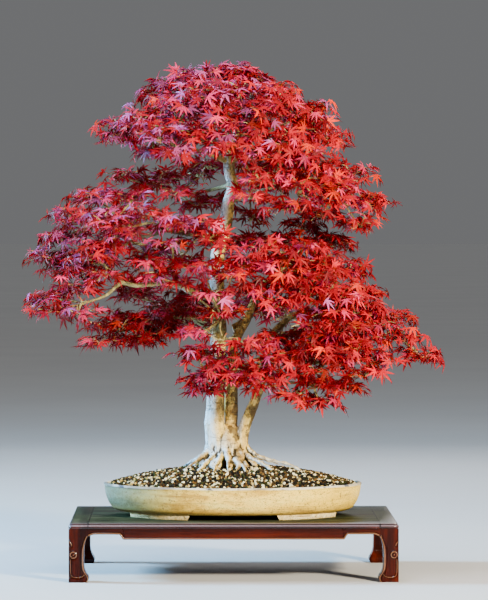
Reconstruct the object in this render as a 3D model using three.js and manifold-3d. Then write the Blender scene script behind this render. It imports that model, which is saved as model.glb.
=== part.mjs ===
// A Japanese maple bonsai in autumn leaf: three stems from one spreading root base, set in a shallow oval
// glazed tray of gritty soil, on a low hardwood display stand with scrolled legs.
// Millimetres. X runs to the right, Y to the back, Z up; the stand's feet are at Z = 0.
import * as THREE from "three";
import { mergeVertices } from "three/addons/utils/BufferGeometryUtils.js";
import Module from "manifold-3d";

const wasm = await Module();
wasm.setup();

// Driving dimensions of the stand.
const STAND_WIDTH = 600;
const STAND_DEPTH = 400;
const STAND_HEIGHT = 107;
const BOARD_THICK = 9;
const END_BOARD_WIDTH = 36;
const BOARD_JOINT = 0.8;
const LEG_SET_BACK = 1;
const LEG_WIDTH = 27.6;
const LEG_TOP_WIDTH = 36.2;
const APRON_THICK = 12;
const APRON_EDGE = 86.9;
const APRON_DROP_EDGE = 77.7;
const APRON_STEP = 208;
const APRON_STEP_RUN = 8;
const SIDE_APRON_STEP = 118;

// Driving dimensions of the tray and its soil.
const SEAT_GAP = 0.3;
const JOIN_TOLERANCE = 0.12;
const SHORTEST_EDGE = 0.06;
const POT_FOOT_BOTTOM = STAND_HEIGHT + SEAT_GAP;
const POT_WIDTH = 481;
const POT_DEPTH = 337;
const POT_RIM_TOP = 168;
const POT_BODY_BOTTOM = 116.5;
const POT_FLOOR = 124;
const POT_SIDES = 32;
const FOOT_SPAN = [80, 191];
const FOOT_SPLAY = 4;
const FOOT_RING = 17;
const DRAIN_HOLE = { x: 95, radius: 9 };
const SCREEN = { side: 34, thick: 1.2, slot: 4, pitch: 8, count: 3 };
const SOIL_EDGE = 165;
const SOIL_CROWN = 34;
const SOIL_RINGS = 7;
const GRAIN_RELIEF = 2.6;
const ROOT_PLUG_BOTTOM = 150;
const HOLE_CLEARANCE = 0.4;

// How far the crown is drawn out to the front and back, against the y given for its boughs and tufts.
const CROWN_STRETCH = 1.6;

// Driving dimensions of the leaves: the middle lobe of a full-grown leaf, and how thick the blade is at the palm.
const LOBE_LENGTH = 25;
const RIB_HEIGHT = 0.9;
const KEEL_DEPTH = 0.8;
const LEAF_BASE = { degrees: 152, reach: 2.6 };
const LOBE_SAG = 0.22;
const BUD = { radius: 2.6, half: 1.3 };
const SHOOT_RADIUS = 2.2;
const SHOOT_TIP_RADIUS = 1.2;
const STUB_LENGTH = 7;
const LEAVES_PER_TUFT_SHARE = 0.66;
const SEVEN_LOBED_SHARE = 0.25;

// Lobes of a leaf as [degrees from the middle lobe, share of the middle lobe's length].
const FIVE_LOBES = [[-96, 0.62], [-46, 0.9], [0, 1], [46, 0.9], [96, 0.62]];
const SEVEN_LOBES = [[-118, 0.5], [-76, 0.78], [-37, 0.94], [0, 1], [37, 0.94], [76, 0.78], [118, 0.5]];
const NOTCH_SHARE = 0.3;

const COLOURS = {
  bark: { color: 0xb9ab8c, roughness: 0.8, metalness: 0 },
  leaf: { color: 0xb01822, roughness: 0.5, metalness: 0 },
  leafDark: { color: 0x7d1018, roughness: 0.55, metalness: 0 },
  leafBright: { color: 0xd02a1c, roughness: 0.5, metalness: 0 },
  pot: { color: 0xc9bd92, roughness: 0.4, metalness: 0 },
  soil: { color: 0x8a735a, roughness: 0.95, metalness: 0 },
  screen: { color: 0x222622, roughness: 0.7, metalness: 0 },
  stand: { color: 0x5c2416, roughness: 0.35, metalness: 0 },
  standTop: { color: 0x3c3328, roughness: 0.4, metalness: 0 },
};

const V = (x, y, z) => new THREE.Vector3(x, y, z);

// A repeatable stream of numbers from 0 to 1.
function numberStream(seed) {
  let state = seed;
  return () => {
    state = (state + 0x6d2b79f5) | 0;
    let t = Math.imul(state ^ (state >>> 15), 1 | state);
    t = (t + Math.imul(t ^ (t >>> 7), 61 | t)) ^ t;
    return ((t ^ (t >>> 14)) >>> 0) / 4294967296;
  };
}

// Geometry to solid and back.
function solid(geometry) {
  const bare = geometry.index ? geometry.toNonIndexed() : geometry.clone();
  bare.deleteAttribute("normal");
  bare.deleteAttribute("uv");
  const merged = mergeVertices(bare, 1e-3);
  return new wasm.Manifold(new wasm.Mesh({
    numProp: 3,
    vertProperties: merged.attributes.position.array,
    triVerts: new Uint32Array(merged.index.array),
  }));
}

function geometryOf(body) {
  const mesh = body.getMesh();
  const positions = new Float32Array(mesh.numVert * 3);
  for (let i = 0; i < mesh.numVert; i++) {
    positions.set(mesh.vertProperties.subarray(i * mesh.numProp, i * mesh.numProp + 3), i * 3);
  }
  const geometry = new THREE.BufferGeometry();
  geometry.setAttribute("position", new THREE.BufferAttribute(positions, 3));
  geometry.setIndex(new THREE.BufferAttribute(new Uint32Array(mesh.triVerts), 1));
  const flat = geometry.toNonIndexed();
  flat.computeVertexNormals();
  return flat;
}

const joined = (bodies) => bodies.reduce((whole, body) => whole.add(body));

// Closes up the very short edges that joining leaves where corners nearly meet.
function withoutShortEdges(body) {
  const { numVert, numProp, vertProperties, triVerts } = body.getMesh();
  const points = Array.from({ length: numVert }, (_, i) => V(...vertProperties.subarray(i * numProp, i * numProp + 3)));
  const target = points.map((_, i) => i);
  const settled = (i) => (target[i] === i ? i : settled(target[i]));
  const triangles = Array.from({ length: triVerts.length / 3 }, (_, i) => [...triVerts.subarray(i * 3, i * 3 + 3)]);
  for (const [a, b, c] of triangles) {
    for (const [p, q] of [[a, b], [b, c], [c, a]]) {
      if (points[p].distanceTo(points[q]) < SHORTEST_EDGE) target[settled(p)] = settled(q);
    }
  }
  const left = triangles.map((corners) => corners.map(settled)).filter((corners) => new Set(corners).size === 3);
  return solid(closedGeometry(points, left));
}

// The skin of the largest body alone, which fills any hollow that joining has sealed.
const outerSkin = (body) => body.decompose().reduce((most, next) => (next.volume() > most.volume() ? next : most));

// What grows together, joined, with the slivers that joining leaves dropped.
function grownTogether(bodies) {
  const whole = outerSkin(joined(bodies)).asOriginal().simplify(JOIN_TOLERANCE);
  return outerSkin(withoutShortEdges(whole));
}

function named(name, body, finish) {
  const material = new THREE.MeshStandardMaterial(finish);
  const mesh = new THREE.Mesh(geometryOf(body), material);
  mesh.name = name;
  return mesh;
}

function closedGeometry(points, triangles) {
  const geometry = new THREE.BufferGeometry();
  geometry.setAttribute("position", new THREE.Float32BufferAttribute(points.flatMap((p) => [p.x, p.y, p.z]), 3));
  geometry.setIndex(triangles.flat());
  return geometry;
}

function block(x0, x1, y0, y1, z0, z1) {
  const box = new THREE.BoxGeometry(x1 - x0, y1 - y0, z1 - z0);
  box.translate((x0 + x1) / 2, (y0 + y1) / 2, (z0 + z1) / 2);
  return solid(box);
}

// An outline in X and Z, given anticlockwise, made solid from y0 to y1.
function frontProfile(outline, y0, y1) {
  const shape = new THREE.Shape(outline.map(([x, z]) => new THREE.Vector2(x, z)));
  const bar = new THREE.ExtrudeGeometry(shape, { depth: y1 - y0, bevelEnabled: false });
  bar.rotateX(Math.PI / 2);
  bar.translate(0, y1, 0);
  return solid(bar);
}

// Rings of points joined into one closed skin with flat ends.
function skin(rings) {
  const sides = rings[0].length;
  const triangles = [];
  for (let i = 1; i < sides - 1; i++) {
    triangles.push([0, i + 1, i]);
    const last = (rings.length - 1) * sides;
    triangles.push([last, last + i, last + i + 1]);
  }
  for (let r = 0; r < rings.length - 1; r++) {
    for (let i = 0; i < sides; i++) {
      const a = r * sides + i;
      const b = r * sides + ((i + 1) % sides);
      triangles.push([a, b, b + sides], [a, b + sides, a + sides]);
    }
  }
  return closedGeometry(rings.flat(), triangles);
}

const curveThrough = (points) => new THREE.CatmullRomCurve3(points.map(([x, y, z]) => V(x, y, z)), false, "centripetal");

// A tapering limb with a round section along points given as [x, y, z, radius].
function limb(points, sides, steps, grow = 0) {
  const curve = curveThrough(points);
  const centres = curve.getPoints(steps);
  const rings = [];
  let across = V(0, 0, 0);
  for (let s = 0; s <= steps; s++) {
    const along = centres[Math.min(s + 1, steps)].clone().sub(centres[Math.max(s - 1, 0)]).normalize();
    if (s === 0) {
      const reference = Math.abs(along.z) > 0.8 ? V(1, 0, 0) : V(0, 0, 1);
      across = reference.clone().cross(along).normalize();
    }
    across.addScaledVector(along, -across.dot(along)).normalize();
    const other = along.clone().cross(across);
    const place = (s / steps) * (points.length - 1);
    const i = Math.min(Math.floor(place), points.length - 2);
    const radius = THREE.MathUtils.lerp(points[i][3], points[i + 1][3], place - i) + grow;
    rings.push(Array.from({ length: sides }, (_, k) => {
      const a = (k / sides) * Math.PI * 2;
      return centres[s].clone().addScaledVector(across, Math.cos(a) * radius)
        .addScaledVector(other, Math.sin(a) * radius);
    }));
  }
  return solid(skin(rings));
}

// The stand: a clamped top board, four hoof legs and four stepped aprons.
function standTopBoards() {
  const half = [STAND_WIDTH / 2, STAND_DEPTH / 2];
  const edge = 3;
  const corner = 6;
  const shape = new THREE.Shape();
  const [w, d] = [half[0] - edge, half[1] - edge];
  shape.moveTo(-w + corner, -d);
  for (const [sx, sy, start] of [[1, -1, -90], [1, 1, 0], [-1, 1, 90], [-1, -1, 180]]) {
    const from = THREE.MathUtils.degToRad(start);
    shape.absarc(sx * (w - corner), sy * (d - corner), corner, from, from + Math.PI / 2, false);
  }
  const slab = new THREE.ExtrudeGeometry(shape, {
    depth: BOARD_THICK - 2 * edge, bevelThickness: edge, bevelSize: edge, bevelSegments: 2, curveSegments: 2,
  });
  slab.translate(0, 0, STAND_HEIGHT - BOARD_THICK + edge);
  const board = solid(slab);
  const joint = half[0] - END_BOARD_WIDTH;
  const slice = (x0, x1) => board.intersect(block(x0, x1, -half[1] - 1, half[1] + 1, 0, STAND_HEIGHT + 1));
  return {
    stand_top_panel: slice(-joint + BOARD_JOINT / 2, joint - BOARD_JOINT / 2),
    stand_top_end_left: slice(-half[0] - 1, -joint - BOARD_JOINT / 2),
    stand_top_end_right: slice(joint + BOARD_JOINT / 2, half[0] + 1),
  };
}

// A leg seen square on, as [distance in from its outer face, height]: hoof foot, shaft and curved shoulder.
function legOutline(top) {
  return [
    [0, 0], [33, 0], [36.5, 5], [36, 11], [32, 16], [28.6, 23], [LEG_WIDTH, 32], [LEG_WIDTH, 68],
    [29.2, 78], [32, 84], [LEG_TOP_WIDTH, APRON_EDGE], [LEG_TOP_WIDTH, top], [0, top],
  ];
}

function standLeg(sideX, sideY) {
  const top = STAND_HEIGHT - BOARD_THICK - SEAT_GAP;
  const reach = 40;
  const front = frontProfile(legOutline(top), 0, reach);
  const side = frontProfile(legOutline(top), 0, reach).rotate([0, 0, 90]).mirror([1, 0, 0]);
  const leg = front.intersect(side);
  const facing = sideX > 0 ? leg.mirror([1, 0, 0]) : leg;
  const placed = sideY > 0 ? facing.mirror([0, 1, 0]) : facing;
  const outerX = sideX * (STAND_WIDTH / 2 - LEG_SET_BACK);
  const outerY = sideY * (STAND_DEPTH / 2 - LEG_SET_BACK);
  return placed.translate([outerX, outerY, 0]);
}

function apronOutline(halfLength, step) {
  const top = STAND_HEIGHT - BOARD_THICK - SEAT_GAP;
  const rise = APRON_EDGE - APRON_DROP_EDGE;
  const ogee = [[0, 0], [0.32, 0.06], [0.6, 0.75], [1, 1]];
  const right = ogee.map(([a, b]) => [step - APRON_STEP_RUN * (1 - a), APRON_DROP_EDGE + rise * b]);
  const left = right.map(([x, z]) => [-x, z]).reverse();
  return [...left, ...right, [halfLength, APRON_EDGE], [halfLength, top], [-halfLength, top], [-halfLength, APRON_EDGE]];
}

function standAprons() {
  const inset = LEG_SET_BACK + LEG_TOP_WIDTH + SEAT_GAP;
  const front = STAND_DEPTH / 2 - LEG_SET_BACK;
  const long = frontProfile(apronOutline(STAND_WIDTH / 2 - inset, APRON_STEP), 0, APRON_THICK);
  const short = frontProfile(apronOutline(STAND_DEPTH / 2 - inset, SIDE_APRON_STEP), 0, APRON_THICK)
    .rotate([0, 0, 90]);
  const side = STAND_WIDTH / 2 - LEG_SET_BACK;
  return {
    stand_apron_front: long.translate([0, -front, 0]),
    stand_apron_back: long.translate([0, front - APRON_THICK, 0]),
    stand_apron_left: short.translate([APRON_THICK - side, 0, 0]),
    stand_apron_right: short.translate([side, 0, 0]),
  };
}

// The tray: an oval shell turned from one profile and squeezed to its depth, on four curved feet.
const POT_OUTER = [[212, POT_BODY_BOTTOM], [222.5, 120.5], [230.5, 130], [236.5, 144], [239.4, 163]];
const POT_SQUEEZE = POT_DEPTH / POT_WIDTH;

function turned(profile) {
  const lathe = new THREE.LatheGeometry(profile.map(([r, z]) => new THREE.Vector2(r, z)), POT_SIDES);
  lathe.rotateX(Math.PI / 2);
  lathe.scale(1, POT_SQUEEZE, 1);
  return solid(lathe);
}

// The inside of the tray's wall from the rim down to the floor.
const POT_INNER = [[231.4, 162], [229, 146], [221, 132], [207, POT_FLOOR]];

function potBody() {
  const half = POT_WIDTH / 2;
  const lip = [[half, 164], [half, 166.8], [half - 1.4, POT_RIM_TOP], [half - 7.5, POT_RIM_TOP]];
  const shell = turned([[0, POT_BODY_BOTTOM], ...POT_OUTER, ...lip, ...POT_INNER, [0, POT_FLOOR]]);
  const [outer] = POT_OUTER[0];
  const sunk = 2;
  const ring = turned([
    [outer - 3, POT_FOOT_BOTTOM], [outer, POT_BODY_BOTTOM], [outer - 1, POT_BODY_BOTTOM + sunk],
    [outer - FOOT_RING - 2, POT_BODY_BOTTOM + sunk], [outer - FOOT_RING, POT_FOOT_BOTTOM],
    [outer - 3, POT_FOOT_BOTTOM],
  ]);
  const [near, far] = FOOT_SPAN;
  const wedge = [
    [near + FOOT_SPLAY, POT_FOOT_BOTTOM - 1], [far - FOOT_SPLAY / 2, POT_FOOT_BOTTOM - 1],
    [far, POT_BODY_BOTTOM + sunk + 1], [near, POT_BODY_BOTTOM + sunk + 1],
  ];
  const right = frontProfile(wedge, -POT_DEPTH / 2, POT_DEPTH / 2);
  const feet = ring.intersect(right.add(right.mirror([1, 0, 0])));
  const drain = new THREE.CylinderGeometry(DRAIN_HOLE.radius, DRAIN_HOLE.radius, 40, 16);
  drain.rotateX(Math.PI / 2);
  drain.translate(DRAIN_HOLE.x, 0, POT_FLOOR);
  const hole = solid(drain);
  return shell.add(feet).subtract(hole.add(hole.mirror([1, 0, 0])));
}

// A plastic screen over a drain hole, under the soil.
function drainScreen(side) {
  const half = SCREEN.side / 2;
  const bottom = POT_FLOOR + SEAT_GAP;
  let plate = block(-half, half, -half, half, bottom, bottom + SCREEN.thick);
  for (let i = 0; i < SCREEN.count; i++) {
    const x = (i - (SCREEN.count - 1) / 2) * SCREEN.pitch;
    const [h, length] = [SCREEN.slot / 2, half - SCREEN.slot];
    plate = plate.subtract(block(x - h, x + h, -length, length, bottom - 1, bottom + SCREEN.thick + 1));
  }
  return plate.translate([side * DRAIN_HOLE.x, 0, 0]);
}

function screenRoom(side) {
  const half = SCREEN.side / 2 + SEAT_GAP;
  const x = side * DRAIN_HOLE.x;
  return block(x - half, x + half, -half, half, POT_FLOOR, POT_FLOOR + 2 * SEAT_GAP + SCREEN.thick);
}

// Height of the soil's mound, where share is 0 at the middle and 1 at the tray's wall.
const moundHeight = (share) => SOIL_EDGE + SOIL_CROWN * Math.pow(Math.max(0, 1 - share * share), 0.9);

// Soil filling the tray, its top a mound of coarse grains raised by a formula.
function soilBody() {
  const grain = numberStream(7);
  const ring = (share, radius, height, relief) => Array.from({ length: POT_SIDES }, (_, k) => {
    const turn = ((k + (relief ? 0.4 * (grain() - 0.5) : 0)) / POT_SIDES) * Math.PI * 2;
    const r = share * radius;
    return V(Math.cos(turn) * r, Math.sin(turn) * r * POT_SQUEEZE, height + relief * (grain() - 0.5));
  });
  const [[edgeRadius], ...wall] = POT_INNER;
  const rings = wall.reverse().map(([r, z]) => ring(1, r - 2 * SEAT_GAP, z === POT_FLOOR ? z + SEAT_GAP : z, 0));
  for (let r = SOIL_RINGS; r > 0; r--) {
    const share = r / (SOIL_RINGS + 0.1);
    rings.push(ring(share, edgeRadius - SEAT_GAP, moundHeight(share), GRAIN_RELIEF));
  }
  return solid(skin(rings));
}

// The three stems, as [x, y, z, radius] from the root base upwards.
const STEMS = {
  main: [
    [-20, 0, 196, 30], [-28, 0, 236, 23], [-34, 0, 275, 18.8], [-32.5, 0, 302, 17.3], [-32, 0, 358, 16.2],
    [-26.5, 0, 442, 14.6], [-29, 0, 526, 13.6], [-27, 0, 589, 13.2], [-15, 0, 638, 12.2], [-7, 0, 677, 12],
    [-1.5, 0, 712, 11.4], [-1.5, 0, 746, 10.4], [-9, 0, 772, 9.6],
  ],
  second: [
    [-6, 8, 208, 20], [-4, 14, 250, 14], [-2, 17, 284, 11.8], [-2.5, 19, 321, 11.4], [-0.4, 22, 358, 10.6],
    [3, 26, 423, 9.6], [13.5, 30, 448, 9], [25, 34, 468, 8.4], [42, 42, 507, 7], [72, 50, 550, 5.6],
    [112, 42, 580, 4.4],
  ],
  third: [
    [12, -2, 208, 17], [24.7, -3, 240, 12], [28.5, -4, 265, 9.8], [38, -8, 312, 8.6], [50, -10, 340, 7.8],
    [58, -12, 380, 7.6], [63, -12, 413, 7.4], [73, -12, 442, 7.3], [92, -14, 463, 6.9], [110, -16, 478, 6.4],
    [150, -20, 482, 5.4], [205, -22, 462, 4.6], [262, -24, 445, 3.8], [306, -22, 436, 2.8],
  ],
};

// Boughs, as [x, y, z, radius]; each starts inside its stem.
const BOUGH_ROUTES = {
  left_low: [
    [-28, 0, 505, 7], [-80, -22, 525, 6], [-108, -34, 541, 5.6], [-150, -42, 538, 4.6], [-182, -48, 536, 4.2],
    [-205, -50, 540, 3.6], [-234, -52, 518, 3], [-268, -52, 505, 2.4],
  ],
  left_low_fork: [[-196, -79, 537, 3.2], [-215, -46, 556, 2.6], [-236, -42, 570, 2.2]],
  left_high: [
    [-18, 0, 622, 7], [-60, -18, 628, 5.6], [-100, -30, 634, 5.2], [-127, -38, 637, 5], [-150, -40, 630, 4.6],
    [-178, -38, 628, 4.2], [-216, -30, 640, 3.6], [-258, -22, 648, 2.8],
  ],
  left_back: [[-4, 0, 722, 4.6], [-35, 22, 714, 3.6], [-62, 38, 708, 3.2], [-95, 50, 703, 2.6]],
  left_crown: [[-9, 0, 765, 6], [-45, -16, 780, 4.6], [-95, -22, 790, 3.8], [-140, -20, 806, 3]],
  left_shade: [[-28, 0, 462, 6], [-80, 18, 474, 5], [-130, 24, 474, 4.2], [-175, 20, 460, 3.2]],
  left_foot: [[-32, 0, 376, 5], [-42, -24, 380, 3.6], [-52, -38, 382, 2.8]],
  right_high: [[0, 0, 695, 6], [25, -4, 702, 5.2], [60, -12, 712, 4.6], [110, -20, 720, 4], [165, -20, 722, 3]],
  right_crown: [[-6, 0, 762, 6], [30, -10, 786, 5], [75, -16, 806, 4], [125, -14, 824, 3]],
  leader: [[-9, 0, 762, 8], [2, 0, 800, 6], [12, 0, 845, 5], [14, 0, 880, 3.6]],
  front_crown: [[-4, 0, 750, 6], [-8, -34, 786, 4.6], [-6, -62, 820, 3.4]],
  back_crown: [[-2, 0, 745, 6], [0, 36, 780, 4.6], [4, 66, 818, 3.4]],
  back_left: [[-28, 0, 560, 6], [-80, 36, 586, 4.8], [-140, 60, 606, 3.8], [-185, 70, 612, 3]],
  back_right: [[52, 44, 522, 5], [80, 66, 528, 4.2], [105, 80, 534, 3.2]],
  back_foot_right: [[4, 26, 424, 5], [50, 58, 430, 4.4], [105, 74, 436, 3.8], [150, 76, 440, 3]],
  back_foot_left: [[-27, 0, 436, 5], [-62, 42, 462, 4.2], [-95, 70, 482, 3.2]],
  right_shoulder: [[-28, 0, 560, 6], [-4, -20, 572, 5], [40, -34, 566, 4.2], [90, -42, 556, 3.4]],
  right_low: [[62, -12, 405, 5], [100, -28, 396, 4.4], [145, -42, 393, 3.8], [185, -48, 394, 3]],
  right_foot: [[51, -10, 343, 4.4], [82, -30, 350, 3.4], [108, -40, 356, 3], [140, -46, 352, 2.4]],
  trunk_front: [[-27, 0, 450, 5], [-24, -26, 462, 3.6], [-22, -42, 470, 2.6]],
};

const stretched = ([x, y, ...rest]) => [x, y * CROWN_STRETCH, ...rest];
const BOUGHS = Object.fromEntries(
  Object.entries(BOUGH_ROUTES).map(([name, [first, ...rest]]) => [name, [first, ...rest.map(stretched)]]),
);

// Surface roots, as [x, y, z, radius], from the base out and down into the soil.
const ROOTS = [
  [[-38, -6, 226, 13], [-58, -16, 212, 9.5], [-76, -26, 199, 6.5], [-92, -34, 186, 4]],
  [[-34, -14, 218, 10], [-46, -34, 205, 7], [-58, -52, 194, 5], [-66, -66, 182, 3.4]],
  [[-22, -20, 218, 10], [-27, -42, 206, 6.6], [-34, -58, 195, 4.6], [-36, -74, 182, 3.2]],
  [[-8, -22, 218, 10], [-8, -44, 206, 6.4], [-10, -62, 194, 4.8], [-6, -80, 180, 3.2]],
  [[6, -20, 218, 9], [10, -42, 206, 6], [20, -58, 196, 4.6], [24, -78, 181, 3]],
  [[16, -12, 222, 10], [34, -30, 210, 6.6], [54, -42, 201, 5], [74, -54, 189, 3.4]],
  [[24, -4, 232, 11], [46, -10, 214, 7.4], [70, -14, 206, 5.6], [104, -18, 198, 4], [126, -24, 187, 2.8]],
  [[20, 8, 222, 10], [48, 18, 208, 6.6], [78, 28, 198, 4.6], [104, 36, 186, 3.2]],
  [[0, 20, 220, 10], [10, 44, 206, 6.4], [22, 66, 193, 4.6], [30, 84, 180, 3.2]],
  [[-24, 18, 220, 10], [-34, 42, 206, 6.4], [-46, 62, 194, 4.6], [-54, 80, 180, 3.2]],
  [[-38, 8, 222, 11], [-60, 22, 208, 7.4], [-82, 34, 196, 5], [-102, 44, 182, 3.2]],
];

// The fused foot of the stems: rings as [centre x, centre y, height, half width, half depth].
const ROOT_BASE = [
  [-6, 0, ROOT_PLUG_BOTTOM, 44, 34], [-6, 0, 184, 52, 40], [-7, 0, 200, 54, 41], [-9, 0, 214, 46, 34],
  [-12, 2, 230, 39, 27], [-13, 3, 248, 36, 22], [-12, 4, 262, 32, 18],
];

function rootBase(grow) {
  const sides = 12;
  const rings = ROOT_BASE.map(([x, y, z, wide, deep], level) => Array.from({ length: sides }, (_, k) => {
    const a = (k / sides) * Math.PI * 2;
    const rib = 1 + 0.07 * Math.cos(a * 5 + level * 0.35);
    const under = level === 0 ? -grow : 0;
    return V(x + Math.cos(a) * (wide * rib + grow), y + Math.sin(a) * (deep * rib + grow), z + under);
  }));
  return solid(skin(rings));
}

function rootsAndBase(grow) {
  return joined([rootBase(grow), ...ROOTS.map((root) => limb(root, 5, 2, grow))]);
}

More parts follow.
